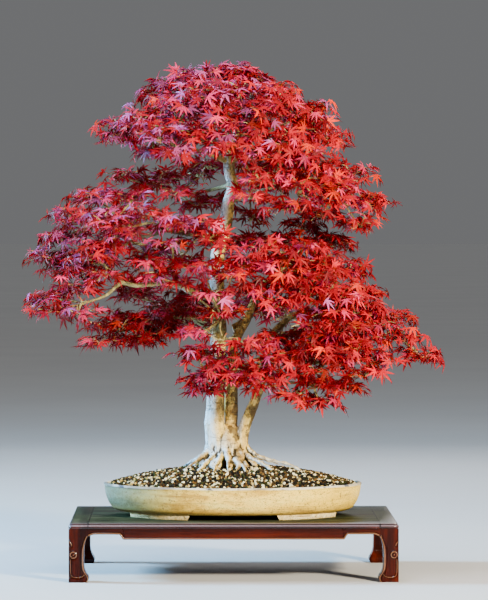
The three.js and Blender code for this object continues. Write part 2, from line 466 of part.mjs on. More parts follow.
// Foliage. Each spray grows from a point on its bough to its hub, and then to tufts of leaves given as
// [x, y, z, half width, half depth, half height, leaves].
const SPRAY_PLACES = {
  crown_apex: {
    bough: "leader", hub: [14, 0, 892],
    tufts: [[16, 0, 950, 50, 48, 12, 5], [-66, -20, 926, 55, 50, 20, 5], [88, -16, 912, 52, 50, 24, 4]],
  },
  crown_left: {
    bough: "left_crown", hub: [-150, -20, 812],
    tufts: [[-146, -5, 884, 48, 50, 24, 4], [-208, -25, 838, 52, 45, 22, 4], [-142, -8, 772, 50, 42, 16, 3]],
  },
  crown_left_front: {
    bough: "left_crown", hub: [-112, -50, 815],
    tufts: [[-105, -66, 862, 55, 48, 28, 5], [-138, -78, 812, 48, 42, 24, 4]],
  },
  crown_front: {
    bough: "front_crown", hub: [-38, -72, 832],
    tufts: [[-28, -92, 866, 56, 42, 30, 5], [-68, -106, 815, 50, 38, 26, 4]],
  },
  crown_front_right: {
    bough: "front_crown", hub: [20, -70, 822],
    tufts: [[54, -92, 856, 55, 42, 30, 5], [6, -108, 798, 46, 34, 24, 4]],
  },
  crown_right: {
    bough: "right_crown", hub: [138, -14, 830],
    tufts: [[148, -10, 880, 54, 52, 24, 4], [182, -25, 816, 52, 50, 26, 5]],
  },
  crown_right_front: { bough: "right_crown", hub: [96, -50, 808], tufts: [[112, -84, 812, 56, 44, 30, 5]] },
  crown_back: { bough: "back_crown", hub: [6, 78, 832], tufts: [[10, 92, 886, 66, 50, 34, 5]] },
  crown_back_left: { bough: "back_crown", hub: [-40, 70, 812], tufts: [[-100, 80, 856, 62, 54, 34, 5]] },
  crown_back_right: { bough: "back_crown", hub: [48, 68, 812], tufts: [[115, 78, 856, 62, 54, 34, 5]] },
  upper_right_far: {
    bough: "right_high", hub: [186, -18, 716],
    tufts: [[228, -18, 744, 46, 46, 24, 4], [246, -24, 690, 58, 48, 26, 5], [236, -40, 650, 34, 32, 24, 3]],
  },
  upper_right_front: {
    bough: "right_high", hub: [140, -50, 722],
    tufts: [[148, -78, 750, 56, 44, 30, 5], [176, -76, 690, 52, 42, 24, 4]],
  },
  upper_right_inner: {
    bough: "right_high", hub: [78, -40, 720],
    tufts: [[82, -88, 758, 42, 36, 26, 4], [95, -68, 688, 50, 40, 22, 4]],
  },
  upper_right_back: {
    bough: "right_high", hub: [122, 24, 708],
    tufts: [[165, 66, 728, 70, 54, 34, 5], [132, 46, 645, 40, 36, 20, 3]],
  },
  upper_back_inner: {
    bough: "back_crown", hub: [30, 62, 752],
    tufts: [[58, 100, 752, 60, 44, 36, 5], [34, 40, 664, 34, 32, 28, 4]],
  },
  upper_left_back: {
    bough: "left_back", hub: [-106, 55, 706],
    tufts: [[-140, 52, 728, 66, 50, 26, 5], [-64, 74, 748, 50, 46, 30, 4], [-206, 34, 740, 38, 34, 14, 3]],
  },
  left_top: {
    bough: "left_high", hub: [-214, -14, 664],
    tufts: [[-262, -4, 700, 54, 48, 22, 5], [-190, 8, 696, 44, 46, 20, 4]],
  },
  left_far: {
    bough: "left_high", hub: [-270, -18, 644],
    tufts: [[-300, -20, 662, 48, 46, 22, 4], [-322, -12, 622, 52, 48, 22, 4], [-338, -8, 586, 54, 42, 16, 4]],
  },
  left_front: {
    bough: "left_high", hub: [-196, -58, 640],
    tufts: [[-236, -66, 652, 54, 40, 26, 5], [-162, -58, 668, 44, 36, 20, 4]],
  },
  left_middle: {
    bough: "left_low_fork", hub: [-242, -42, 576],
    tufts: [[-252, -58, 606, 50, 42, 24, 5], [-300, -32, 560, 58, 46, 20, 5], [-234, -60, 554, 34, 32, 12, 3]],
  },
  left_low: {
    bough: "left_low", hub: [-276, -52, 502],
    tufts: [
      [-290, -45, 527, 46, 40, 14, 4], [-345, -18, 510, 48, 36, 12, 3], [-342, -38, 485, 53, 36, 12, 4],
      [-286, -60, 486, 38, 34, 14, 3],
    ],
  },
  left_trunk: {
    bough: "left_high", hub: [-66, -50, 632],
    tufts: [[-86, -82, 646, 54, 38, 22, 5], [-34, -82, 622, 40, 36, 20, 4]],
  },
  left_inner: {
    bough: "left_low", hub: [-122, -42, 558],
    tufts: [[-156, -26, 592, 48, 40, 16, 4], [-84, -40, 576, 46, 38, 14, 4], [-138, -56, 554, 38, 32, 10, 3]],
  },
  left_back: {
    bough: "back_left", hub: [-196, 72, 616],
    tufts: [[-235, 85, 650, 72, 54, 36, 5], [-262, 62, 572, 60, 48, 28, 4]],
  },
  shade_left: {
    bough: "left_shade", hub: [-120, 28, 484],
    tufts: [[-66, 26, 510, 58, 48, 26, 4], [-134, 32, 500, 54, 46, 22, 4], [-196, 28, 482, 50, 44, 18, 4]],
  },
  shade_low: {
    bough: "left_shade", hub: [-186, 14, 452],
    tufts: [
      [-244, 12, 462, 46, 38, 14, 4], [-246, -6, 428, 48, 34, 12, 4], [-170, 2, 430, 50, 36, 12, 4],
      [-130, 18, 452, 46, 38, 14, 3],
    ],
  },
  trunk_front: { bough: "trunk_front", hub: [-22, -50, 474], tufts: [[-24, -72, 484, 48, 36, 24, 5]] },
  foot_left: {
    bough: "left_foot", hub: [-54, -46, 382],
    tufts: [
      [-64, -52, 408, 52, 40, 18, 4], [-6, -76, 396, 44, 34, 20, 4], [-78, -48, 360, 40, 32, 10, 3],
      [-62, -56, 336, 40, 28, 10, 3],
    ],
  },
  back_foot_left: {
    bough: "back_foot_left", hub: [-104, 76, 488],
    tufts: [[-84, 96, 462, 66, 50, 32, 4], [-185, 82, 520, 66, 48, 32, 4]],
  },
  right_shade: {
    bough: "second", hub: [118, 42, 588],
    tufts: [[36, 46, 612, 60, 48, 20, 4], [106, 46, 614, 52, 48, 20, 3], [186, 26, 614, 62, 46, 20, 5]],
  },
  right_shoulder_front: {
    bough: "right_shoulder", hub: [70, -54, 572],
    tufts: [[20, -74, 576, 54, 40, 24, 4], [96, -86, 580, 50, 40, 26, 4], [164, -78, 574, 50, 42, 28, 4]],
  },
  right_shoulder_far: {
    bough: "right_shoulder", hub: [150, -30, 548],
    tufts: [[224, -26, 562, 50, 46, 24, 4], [240, -26, 520, 46, 46, 18, 4]],
  },
  right_middle: {
    bough: "right_shoulder", hub: [96, -60, 540],
    tufts: [[46, -78, 530, 56, 40, 18, 4], [126, -94, 530, 50, 38, 24, 4], [190, -72, 525, 50, 42, 24, 4]],
  },
  right_front: {
    bough: "third", hub: [160, -44, 488],
    tufts: [[110, -64, 482, 48, 40, 20, 4], [176, -76, 482, 50, 42, 22, 4], [242, -48, 490, 46, 42, 18, 4]],
  },
  right_far: {
    bough: "third", hub: [314, -22, 434],
    tufts: [[298, -18, 484, 50, 44, 16, 4], [304, -32, 448, 50, 44, 20, 4], [353, -16, 416, 50, 40, 18, 5]],
  },
  right_tier: {
    bough: "third", hub: [180, -44, 454],
    tufts: [[98, -34, 442, 48, 42, 20, 4], [168, -66, 440, 50, 42, 20, 4], [236, -60, 440, 50, 42, 22, 4]],
  },
  right_low: {
    bough: "right_low", hub: [194, -50, 394],
    tufts: [
      [122, -58, 402, 42, 34, 14, 3], [196, -78, 406, 48, 40, 20, 4], [262, -52, 400, 48, 40, 20, 4],
      [240, -66, 374, 46, 38, 16, 4],
    ],
  },
  centre_low: {
    bough: "third", hub: [60, -44, 408],
    tufts: [[54, -64, 428, 48, 40, 20, 4], [42, -84, 378, 50, 34, 18, 4], [102, -68, 370, 40, 34, 16, 3]],
  },
  foot_right: {
    bough: "right_foot", hub: [148, -48, 348],
    tufts: [
      [108, -54, 330, 40, 34, 20, 4], [166, -54, 318, 42, 34, 16, 4], [166, -46, 352, 42, 36, 10, 3],
      [222, -42, 332, 36, 34, 18, 4],
    ],
  },
  back_right: {
    bough: "back_right", hub: [112, 84, 538],
    tufts: [[132, 96, 562, 80, 52, 34, 5], [58, 106, 486, 70, 44, 32, 4]],
  },
  back_foot_right: {
    bough: "back_foot_right", hub: [158, 76, 442],
    tufts: [[226, 74, 470, 76, 52, 32, 5], [134, 92, 404, 64, 42, 26, 4]],
  },
};

const SPRAYS = Object.fromEntries(
  Object.entries(SPRAY_PLACES).map(([name, { bough, hub, tufts }]) => [
    name, { bough, hub: stretched(hub), tufts: tufts.map(stretched) },
  ]),
);

const STEM_STEPS = { main: 12, second: 8, third: 12 };
const STEM_SIDES = { main: 9, second: 7, third: 6 };
const boughSteps = (name) => STEM_STEPS[name] ?? Math.max(2, Math.round(BOUGHS[name].length * 0.6));

// The point of a stem's or bough's centre line that lies nearest to a place.
function nearestOn(name, place) {
  const line = curveThrough(STEMS[name] ?? BOUGHS[name]).getPoints(boughSteps(name));
  const candidates = line.slice(1).map((end, i) => (
    new THREE.Line3(line[i], end).closestPointToPoint(place, true, V(0, 0, 0))
  ));
  return candidates.reduce((best, p) => (p.distanceTo(place) < best.distanceTo(place) ? p : best));
}

// The short branch that carries a spray, from the bough's centre line to the spray's hub.
function branchletPoints(spray) {
  const hub = V(...spray.hub);
  const start = nearestOn(spray.bough, hub);
  return [[...start.toArray(), 2.9], [...hub.toArray(), 2.4]];
}

function hubDirection(spray) {
  const [[x0, y0, z0], [x1, y1, z1]] = branchletPoints(spray);
  return V(x1 - x0, y1 - y0, z1 - z0).normalize();
}

function treeBody() {
  const stems = Object.keys(STEMS).map((name) => limb(STEMS[name], STEM_SIDES[name], STEM_STEPS[name]));
  const boughs = Object.keys(BOUGHS).map((name) => limb(BOUGHS[name], 4, boughSteps(name)));
  const branchlets = Object.values(SPRAYS).map((spray) => limb(branchletPoints(spray), 3, 1));
  return grownTogether([rootsAndBase(0), ...stems, ...boughs, ...branchlets]);
}

// The points of one leaf: ridge and keel at its palm, then its rim from one side of the stalk round to the
// other, with pointed lobes that droop to their tips. Both faces fan from the palm, so they never cross.
function leafPoints({ palm, bud, droop, twist, size, lobes }) {
  const stalk = palm.clone().sub(bud).normalize();
  const across = V(0, 0, 1).cross(stalk).normalize().applyAxisAngle(stalk, twist);
  const rise = stalk.clone().cross(across);
  const out = stalk.clone().multiplyScalar(Math.cos(droop)).addScaledVector(rise, -Math.sin(droop));
  const up = rise.clone().multiplyScalar(Math.cos(droop)).addScaledVector(stalk, Math.sin(droop));
  const at = (degrees, reach, sag) => {
    const a = THREE.MathUtils.degToRad(degrees);
    return palm.clone().addScaledVector(out, Math.cos(a) * reach)
      .addScaledVector(across, Math.sin(a) * reach).addScaledVector(up, -sag);
  };
  const rim = [at(-LEAF_BASE.degrees, LEAF_BASE.reach, 0)];
  lobes.forEach(([degrees, share], i) => {
    if (i > 0) rim.push(at((lobes[i - 1][0] + degrees) / 2, size * NOTCH_SHARE, 0.5));
    rim.push(at(degrees, size * share, size * share * share * LOBE_SAG));
  });
  rim.push(at(LEAF_BASE.degrees, LEAF_BASE.reach, 0));
  const ridge = palm.clone().addScaledVector(up, RIB_HEIGHT);
  const keel = palm.clone().addScaledVector(up, -KEEL_DEPTH);
  return [ridge, keel, ...rim];
}

// The faces of one leaf, whose points start at index first and whose stalk ends at the four corners
// [top left, top right, bottom left, bottom right] of one side of its bud.
function leafTriangles(first, count, [tl, tr, bl, br]) {
  const [ridge, keel, start, last] = [first, first + 1, first + 2, first + count - 1];
  const triangles = [
    [ridge, last, tr], [ridge, tr, tl], [ridge, tl, start], [last, br, tr],
    [start, tl, bl], [keel, br, last], [keel, bl, br], [keel, start, bl],
  ];
  for (let i = start; i < last; i++) triangles.push([ridge, i, i + 1], [keel, i + 1, i]);
  return triangles;
}

// A bud at a shoot's end: the top and bottom corners between its sides, one side to each leaf.
function budCorners(bud, turn, sides) {
  const ring = (height) => Array.from({ length: sides }, (_, i) => {
    const a = turn + ((i - 0.5) / sides) * Math.PI * 2;
    return bud.clone().add(V(Math.cos(a) * BUD.radius, Math.sin(a) * BUD.radius, height));
  });
  return [...ring(BUD.half), ...ring(-BUD.half)];
}

const budSide = (i, sides) => [i, (i + 1) % sides, sides + i, sides + ((i + 1) % sides)];

function loneLeaf(leaf, corners, side) {
  const own = side.map((i) => corners[i]);
  const points = leafPoints(leaf);
  const triangles = leafTriangles(4, points.length, [0, 1, 2, 3]);
  return solid(closedGeometry([...own, ...points], [...triangles, [0, 1, 3], [0, 3, 2]]));
}

// A bud and its leaves as one closed skin; a side without a leaf stays plain.
function tuftSolid(corners, sides, leaves) {
  const points = [...corners];
  const triangles = [];
  for (let i = 1; i < sides - 1; i++) triangles.push([0, i, i + 1], [sides, sides + i + 1, sides + i]);
  leaves.forEach((leaf, i) => {
    const [tl, tr, bl, br] = budSide(i, sides);
    if (!leaf) {
      triangles.push([tl, bl, br], [tl, br, tr]);
      return;
    }
    const own = leafPoints(leaf);
    triangles.push(...leafTriangles(points.length, own.length, [tl, tr, bl, br]));
    points.push(...own);
  });
  return solid(closedGeometry(points, triangles));
}

function boxesMeet(a, b) {
  const [p, q] = [a.boundingBox(), b.boundingBox()];
  return [0, 1, 2].every((i) => p.min[i] <= q.max[i] && q.min[i] <= p.max[i]);
}

function crosses(body, others) {
  return others.some((other) => boxesMeet(body, other) && body.intersect(other).volume() > 1e-4);
}

// A shoot from a spray's hub to each tuft's bud, bent clear of whatever belongs to another node. The
// straightest shoot starts on the hub's axis, a seat gap away from it, and the others start inside it.
function sprayShoots(spray, obstacles, draw) {
  const hub = V(...spray.hub);
  const along = hubDirection(spray);
  const start = hub.clone().addScaledVector(along, SEAT_GAP);
  const fork = start.clone().addScaledVector(along, STUB_LENGTH);
  const turnTo = (bud) => bud.clone().sub(hub).angleTo(along);
  const buds = spray.tufts.map(([x, y, z]) => V(x, y, z)).sort((p, q) => turnTo(p) - turnTo(q));
  return buds.map((bud, j) => {
    const base = j === 0 ? [start, fork] : [fork.clone().addScaledVector(along, -1.3 * j)];
    for (let attempt = 0; attempt < 60; attempt++) {
      const aside = V(draw() - 0.5, draw() - 0.5, draw() - 0.5).normalize().multiplyScalar(6 + attempt * 0.6);
      const bend = attempt === 0 ? [] : [fork.clone().lerp(bud, 0.5).add(aside)];
      const radius = SHOOT_RADIUS - 0.15 * j;
      const route = [...base, ...bend, bud].map((p) => [...p.toArray(), p === bud ? SHOOT_TIP_RADIUS : radius]);
      const body = limb(route, 3, route.length - 1);
      if (!crosses(body, obstacles)) return body;
    }
    throw new Error("no clear way to the bud at " + bud.toArray().join(", "));
  });
}

// Leaves round one bud, spread in turn about it, with the widest gap towards the shoot that carries it.
function tuftOfLeaves([x, y, z, wide, deep, high, full], from, obstacles, draw) {
  const bud = V(x, y, z);
  const count = Math.max(2, Math.round(full * LEAVES_PER_TUFT_SHARE));
  const sides = Math.max(3, count);
  const away = Math.atan2(y - from.y, x - from.x);
  const turn = away + (sides % 2 && count > 2 ? 0 : Math.PI / sides);
  const corners = budCorners(bud, turn, sides);
  const placed = [];
  const leaves = [];
  for (let i = 0; i < sides; i++) {
    leaves.push(null);
    if (count < sides && i === 1) continue;
    for (let attempt = 0; attempt < 16 && !leaves[i]; attempt++) {
      const jitter = (draw() - 0.5) * (0.3 + attempt * 0.03) * (Math.PI * 2 / sides);
      const a = turn + (i / sides) * Math.PI * 2 + jitter;
      const size = LOBE_LENGTH * (0.9 + 0.3 * draw());
      const reach = (half) => Math.max(8, half - size * (0.75 + 0.25 * draw()));
      const lift = high * ((i % 2 ? 0.5 : -0.15) + 0.5 * (draw() - 0.5));
      const offset = V(Math.cos(a) * reach(wide), Math.sin(a) * reach(deep), 0);
      offset.z = THREE.MathUtils.clamp(lift, -offset.length(), offset.length());
      const leaf = {
        palm: bud.clone().add(offset), bud, size,
        droop: 0.2 + 0.6 * draw(), twist: (draw() - 0.5) * 0.8,
        lobes: draw() < SEVEN_LOBED_SHARE ? SEVEN_LOBES : FIVE_LOBES,
      };
      const body = loneLeaf(leaf, corners, budSide(i, sides));
      if (body.volume() > 0 && !crosses(body, [...obstacles, ...placed])) {
        placed.push(body);
        leaves[i] = leaf;
      }
    }
  }
  return tuftSolid(corners, sides, leaves);
}

// Every spray as one body. All shoots are laid first, so that each leaf keeps clear of the other sprays.
function foliageBodies(tree) {
  const draw = numberStream(20);
  const names = Object.keys(SPRAYS);
  const carriers = [];
  names.forEach((name) => {
    carriers.push(sprayShoots(SPRAYS[name], [tree, ...carriers.flat()], draw));
  });
  const grown = [];
  return names.map((name, i) => {
    const others = carriers.flatMap((shoots, k) => (k === i ? [] : shoots));
    const tufts = SPRAYS[name].tufts.map((tuft) => {
      const body = tuftOfLeaves(tuft, V(...SPRAYS[name].hub), [tree, ...others, ...grown], draw);
      grown.push(body);
      return body;
    });
    return grownTogether([...carriers[i], ...tufts]);
  });
}

// Which finish a spray's leaves have: deep crimson in the shade, orange red to the right, red elsewhere.
function sprayFinish(name) {
  if (/shade|back/.test(name)) return COLOURS.leafDark;
  return /right/.test(name) ? COLOURS.leafBright : COLOURS.leaf;
}

function bonsai() {
  const group = new THREE.Group();
  group.name = "japanese_maple_bonsai";
  for (const [name, body] of Object.entries(standTopBoards())) group.add(named(name, body, COLOURS.standTop));
  for (const [name, body] of Object.entries(standAprons())) group.add(named(name, body, COLOURS.stand));
  for (const [place, x, y] of [["front_left", -1, -1], ["front_right", 1, -1], ["back_left", -1, 1], ["back_right", 1, 1]]) {
    group.add(named("stand_leg_" + place, standLeg(x, y), COLOURS.stand));
  }
  group.add(named("pot", potBody(), COLOURS.pot));
  group.add(named("drain_screen_left", drainScreen(-1), COLOURS.screen));
  group.add(named("drain_screen_right", drainScreen(1), COLOURS.screen));
  const tree = treeBody();
  const hole = rootsAndBase(HOLE_CLEARANCE);
  const soil = [hole, screenRoom(-1), screenRoom(1)].reduce((left, room) => left.subtract(room), soilBody());
  group.add(named("soil", soil.asOriginal().simplify(JOIN_TOLERANCE), COLOURS.soil));
  group.add(named("tree", tree, COLOURS.bark));
  const foliage = foliageBodies(tree);
  Object.keys(SPRAYS).forEach((name, i) => group.add(named("spray_" + name, foliage[i], sprayFinish(name))));
  return group;
}

// The origin is at the middle of the whole object's footprint, on the surface that it stands on.
const object = bonsai();
const extent = new THREE.Box3().setFromObject(object);
object.position.set(-(extent.min.x + extent.max.x) / 2, -(extent.min.y + extent.max.y) / 2, -extent.min.z);

export default object;
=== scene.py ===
# A Japanese maple bonsai in red autumn leaf: three stems on one root base, in an oval glazed tray of grit,
# on a low hardwood stand with scrolled legs.
# Shapes are worked in millimetres from the middle of the stand on the floor: X right, Y back, Z up.
import math

import bmesh
import bpy
import numpy as np
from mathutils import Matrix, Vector, kdtree, noise


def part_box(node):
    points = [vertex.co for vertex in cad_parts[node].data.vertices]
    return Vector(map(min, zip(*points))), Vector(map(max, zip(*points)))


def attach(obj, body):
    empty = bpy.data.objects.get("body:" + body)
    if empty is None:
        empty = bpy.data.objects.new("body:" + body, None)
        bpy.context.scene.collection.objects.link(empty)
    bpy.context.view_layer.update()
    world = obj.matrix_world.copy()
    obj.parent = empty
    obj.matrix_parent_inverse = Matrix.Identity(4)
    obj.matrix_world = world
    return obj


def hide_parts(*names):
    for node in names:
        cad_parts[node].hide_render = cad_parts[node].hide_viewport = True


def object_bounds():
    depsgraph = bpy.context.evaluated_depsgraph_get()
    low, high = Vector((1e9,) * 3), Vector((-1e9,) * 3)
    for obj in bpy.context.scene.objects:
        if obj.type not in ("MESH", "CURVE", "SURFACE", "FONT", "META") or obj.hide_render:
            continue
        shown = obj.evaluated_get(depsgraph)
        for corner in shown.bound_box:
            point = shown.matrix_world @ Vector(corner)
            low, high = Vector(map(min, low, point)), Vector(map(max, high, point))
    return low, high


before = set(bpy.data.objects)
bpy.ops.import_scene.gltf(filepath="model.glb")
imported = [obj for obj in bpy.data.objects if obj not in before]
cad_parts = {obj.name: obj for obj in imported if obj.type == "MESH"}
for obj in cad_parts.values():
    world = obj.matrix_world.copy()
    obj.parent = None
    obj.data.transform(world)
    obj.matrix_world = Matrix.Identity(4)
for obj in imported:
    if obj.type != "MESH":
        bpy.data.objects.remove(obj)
cad_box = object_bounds()

# The work frame: the tray stands in the middle of the stand.
POT_LOW, POT_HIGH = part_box("pot")
MIDDLE = np.array([(POT_LOW.x + POT_HIGH.x) / 2, (POT_LOW.y + POT_HIGH.y) / 2, 0.0])
MM = 0.001


def metres(points):
    return np.asarray(points, float) * MM + MIDDLE


def millimetres(corner):
    return (np.array(corner) - MIDDLE) / MM


LIMIT_LOW, LIMIT_HIGH = millimetres(cad_box[0]), millimetres(cad_box[1])

# Driving sizes of the tray.
RIM_Z = millimetres(POT_HIGH)[2]
RIM_HALF = millimetres(POT_HIGH)[0]
SQUEEZE = millimetres(POT_HIGH)[1] / RIM_HALF
FOOT_Z = millimetres(POT_LOW)[2]
BODY_BOTTOM_Z = FOOT_Z + 9.2
FLOOR_Z = FOOT_Z + 16.7
DRAIN_X = 95
DRAIN_RADIUS = 9

# Driving sizes of the soil: the mound's height at the wall, how much it rises, and its grains.
SOIL_EDGE_Z = RIM_Z - 3
SOIL_RISE = 34
SOIL_HALF = RIM_HALF - 9.2
GRAIN_SIZES = (4.0, 7.4)
GRAIN_PITCH = 4.9

# Driving sizes of the crown: how far its tufts stand apart to front and back, how deep each tuft is drawn
# out and how much of that stays within the crown, the crown's half depth by height, and its leaves.
CROWN_STRETCH = 1.6
TUFT_STRETCH = 1.3
TUFT_SHARE_INSIDE = 0.92
CROWN_HEIGHTS, CROWN_DEPTHS = (330, 420, 560, 780, 860, 936), (150, 182, 198, 198, 180, 120)
LOBE_LENGTH = 26.4
LEAVES_PER_AREA = 0.0194
BLADE_HALF_THICKNESS = 0.22
EDGE_ROOM = 0.6

# Stems, as rows of [x, y, z, radius] along the centre line.
STEMS = {
    "main": [
        [-20, 0, 196, 30], [-28, 0, 236, 23], [-34, 0, 275, 18.8], [-32.5, 0, 302, 17.3],
        [-32, 0, 358, 16.2], [-26.5, 0, 442, 14.6], [-29, 0, 526, 13.6], [-28, 0, 592, 13.2],
        [-16, 0, 634, 12.2], [-10.5, 0, 670, 12.2], [-8, 0, 690, 11.4], [-1, 0, 708, 11.6],
        [-0.5, 0, 724, 10.6], [-6, 0, 748, 10.2], [-9, 0, 772, 9.6],
    ],
    "second": [
        [-6, 8, 208, 20], [-4, 14, 250, 14], [-2.4, 17, 284, 12.8], [-2.2, 19, 321, 12.6],
        [-1, 22, 358, 11.6], [3, 26, 423, 9.6], [13.5, 30, 448, 9], [25, 34, 468, 8.4], [42, 42, 507, 7],
        [72, 50, 550, 5.6], [112, 42, 580, 4.4],
    ],
    "third": [
        [12, -2, 208, 17], [17, -3, 244, 13], [21, -4, 267, 11.4], [32, -7, 296, 10.4],
        [43.5, -9, 325, 9.2], [50, -10, 342, 8.4], [58, -12, 380, 7.6], [63, -12, 413, 7.4],
        [73, -12, 442, 7.3], [92, -14, 463, 6.9], [110, -16, 478, 6.4], [150, -20, 482, 5.4],
        [205, -22, 462, 4.6], [262, -24, 445, 3.8], [306, -22, 436, 2.8],
    ],
}

# Boughs, from the stem that bears each one.
BOUGH_ROUTES = {
    "left_low": [
        [-28, 0, 505, 7], [-80, -22, 525, 6], [-108, -34, 541, 5.6], [-150, -42, 538, 4.6],
        [-182, -48, 536, 4.2], [-205, -50, 540, 3.6], [-234, -52, 518, 3], [-268, -52, 505, 2.4],
    ],
    "left_low_fork": [[-196, -79, 537, 3.2], [-215, -46, 556, 2.6], [-236, -42, 570, 2.2]],
    "left_high": [
        [-18, 0, 622, 7], [-60, -18, 628, 5.6], [-100, -30, 634, 5.2], [-127, -38, 637, 5],
        [-150, -40, 630, 4.6], [-178, -38, 628, 4.2], [-216, -30, 640, 3.6], [-258, -22, 648, 2.8],
    ],
    "left_back": [[-4, 0, 722, 4.6], [-35, 22, 714, 3.6], [-62, 38, 708, 3.2], [-95, 50, 703, 2.6]],
    "left_crown": [[-9, 0, 765, 6], [-45, -16, 780, 4.6], [-95, -22, 790, 3.8], [-140, -20, 806, 3]],
    "left_shade": [[-28, 0, 462, 6], [-80, 18, 474, 5], [-130, 24, 474, 4.2], [-175, 20, 460, 3.2]],
    "left_foot": [[-32, 0, 376, 5], [-42, -24, 380, 3.6], [-52, -38, 382, 2.8]],
    "right_high": [
        [0, 0, 695, 6], [25, -4, 702, 5.2], [60, -12, 712, 4.6], [110, -20, 720, 4], [165, -20, 722, 3],
    ],
    "right_crown": [[-6, 0, 762, 6], [30, -10, 786, 5], [75, -16, 806, 4], [125, -14, 824, 3]],
    "leader": [[-9, 0, 762, 8], [2, 0, 800, 6], [12, 0, 845, 5], [14, 0, 880, 3.6]],
    "front_crown": [[-4, 0, 750, 6], [-8, -34, 786, 4.6], [-6, -62, 820, 3.4]],
    "back_crown": [[-2, 0, 745, 6], [0, 36, 780, 4.6], [4, 66, 818, 3.4]],
    "back_left": [[-28, 0, 560, 6], [-80, 36, 586, 4.8], [-140, 60, 606, 3.8], [-185, 70, 612, 3]],
    "back_right": [[52, 44, 522, 5], [80, 66, 528, 4.2], [105, 80, 534, 3.2]],
    "back_foot_right": [[4, 26, 424, 5], [50, 58, 430, 4.4], [105, 74, 436, 3.8], [150, 76, 440, 3]],
    "back_foot_left": [[-27, 0, 436, 5], [-62, 42, 462, 4.2], [-95, 70, 482, 3.2]],
    "right_shoulder": [[-28, 0, 560, 6], [-4, -20, 572, 5], [40, -34, 566, 4.2], [90, -42, 556, 3.4]],
    "right_low": [[62, -12, 405, 5], [100, -28, 396, 4.4], [145, -42, 393, 3.8], [185, -48, 394, 3]],
    "right_foot": [[51, -10, 343, 4.4], [82, -30, 350, 3.4], [108, -40, 356, 3], [140, -46, 352, 2.4]],
    "trunk_front": [[-27, 0, 450, 5], [-24, -26, 462, 3.6], [-22, -42, 470, 2.6]],
}

# Surface roots, from the base out into the soil.
ROOTS = [
    [[-38, -6, 226, 13], [-58, -16, 212, 9.5], [-76, -26, 199, 6.5], [-92, -34, 186, 4]],
    [[-34, -14, 218, 10], [-46, -34, 205, 7], [-58, -52, 194, 5], [-66, -66, 182, 3.4]],
    [[-22, -20, 218, 10], [-27, -42, 206, 6.6], [-34, -58, 195, 4.6], [-36, -74, 182, 3.2]],
    [[-8, -22, 218, 10], [-8, -44, 206, 6.4], [-10, -62, 194, 4.8], [-6, -80, 180, 3.2]],
    [[6, -20, 218, 9], [10, -42, 206, 6], [20, -58, 196, 4.6], [24, -78, 181, 3]],
    [[16, -12, 222, 10], [34, -30, 210, 6.6], [54, -42, 201, 5], [74, -54, 189, 3.4]],
    [[24, -4, 232, 11], [46, -10, 214, 7.4], [70, -14, 206, 5.6], [104, -18, 198, 4], [126, -24, 187, 2.8]],
    [[20, 8, 222, 10], [48, 18, 208, 6.6], [78, 28, 198, 4.6], [104, 36, 186, 3.2]],
    [[0, 20, 220, 10], [10, 44, 206, 6.4], [22, 66, 193, 4.6], [30, 84, 180, 3.2]],
    [[-24, 18, 220, 10], [-34, 42, 206, 6.4], [-46, 62, 194, 4.6], [-54, 80, 180, 3.2]],
    [[-38, 8, 222, 11], [-60, 22, 208, 7.4], [-82, 34, 196, 5], [-102, 44, 182, 3.2]],
]

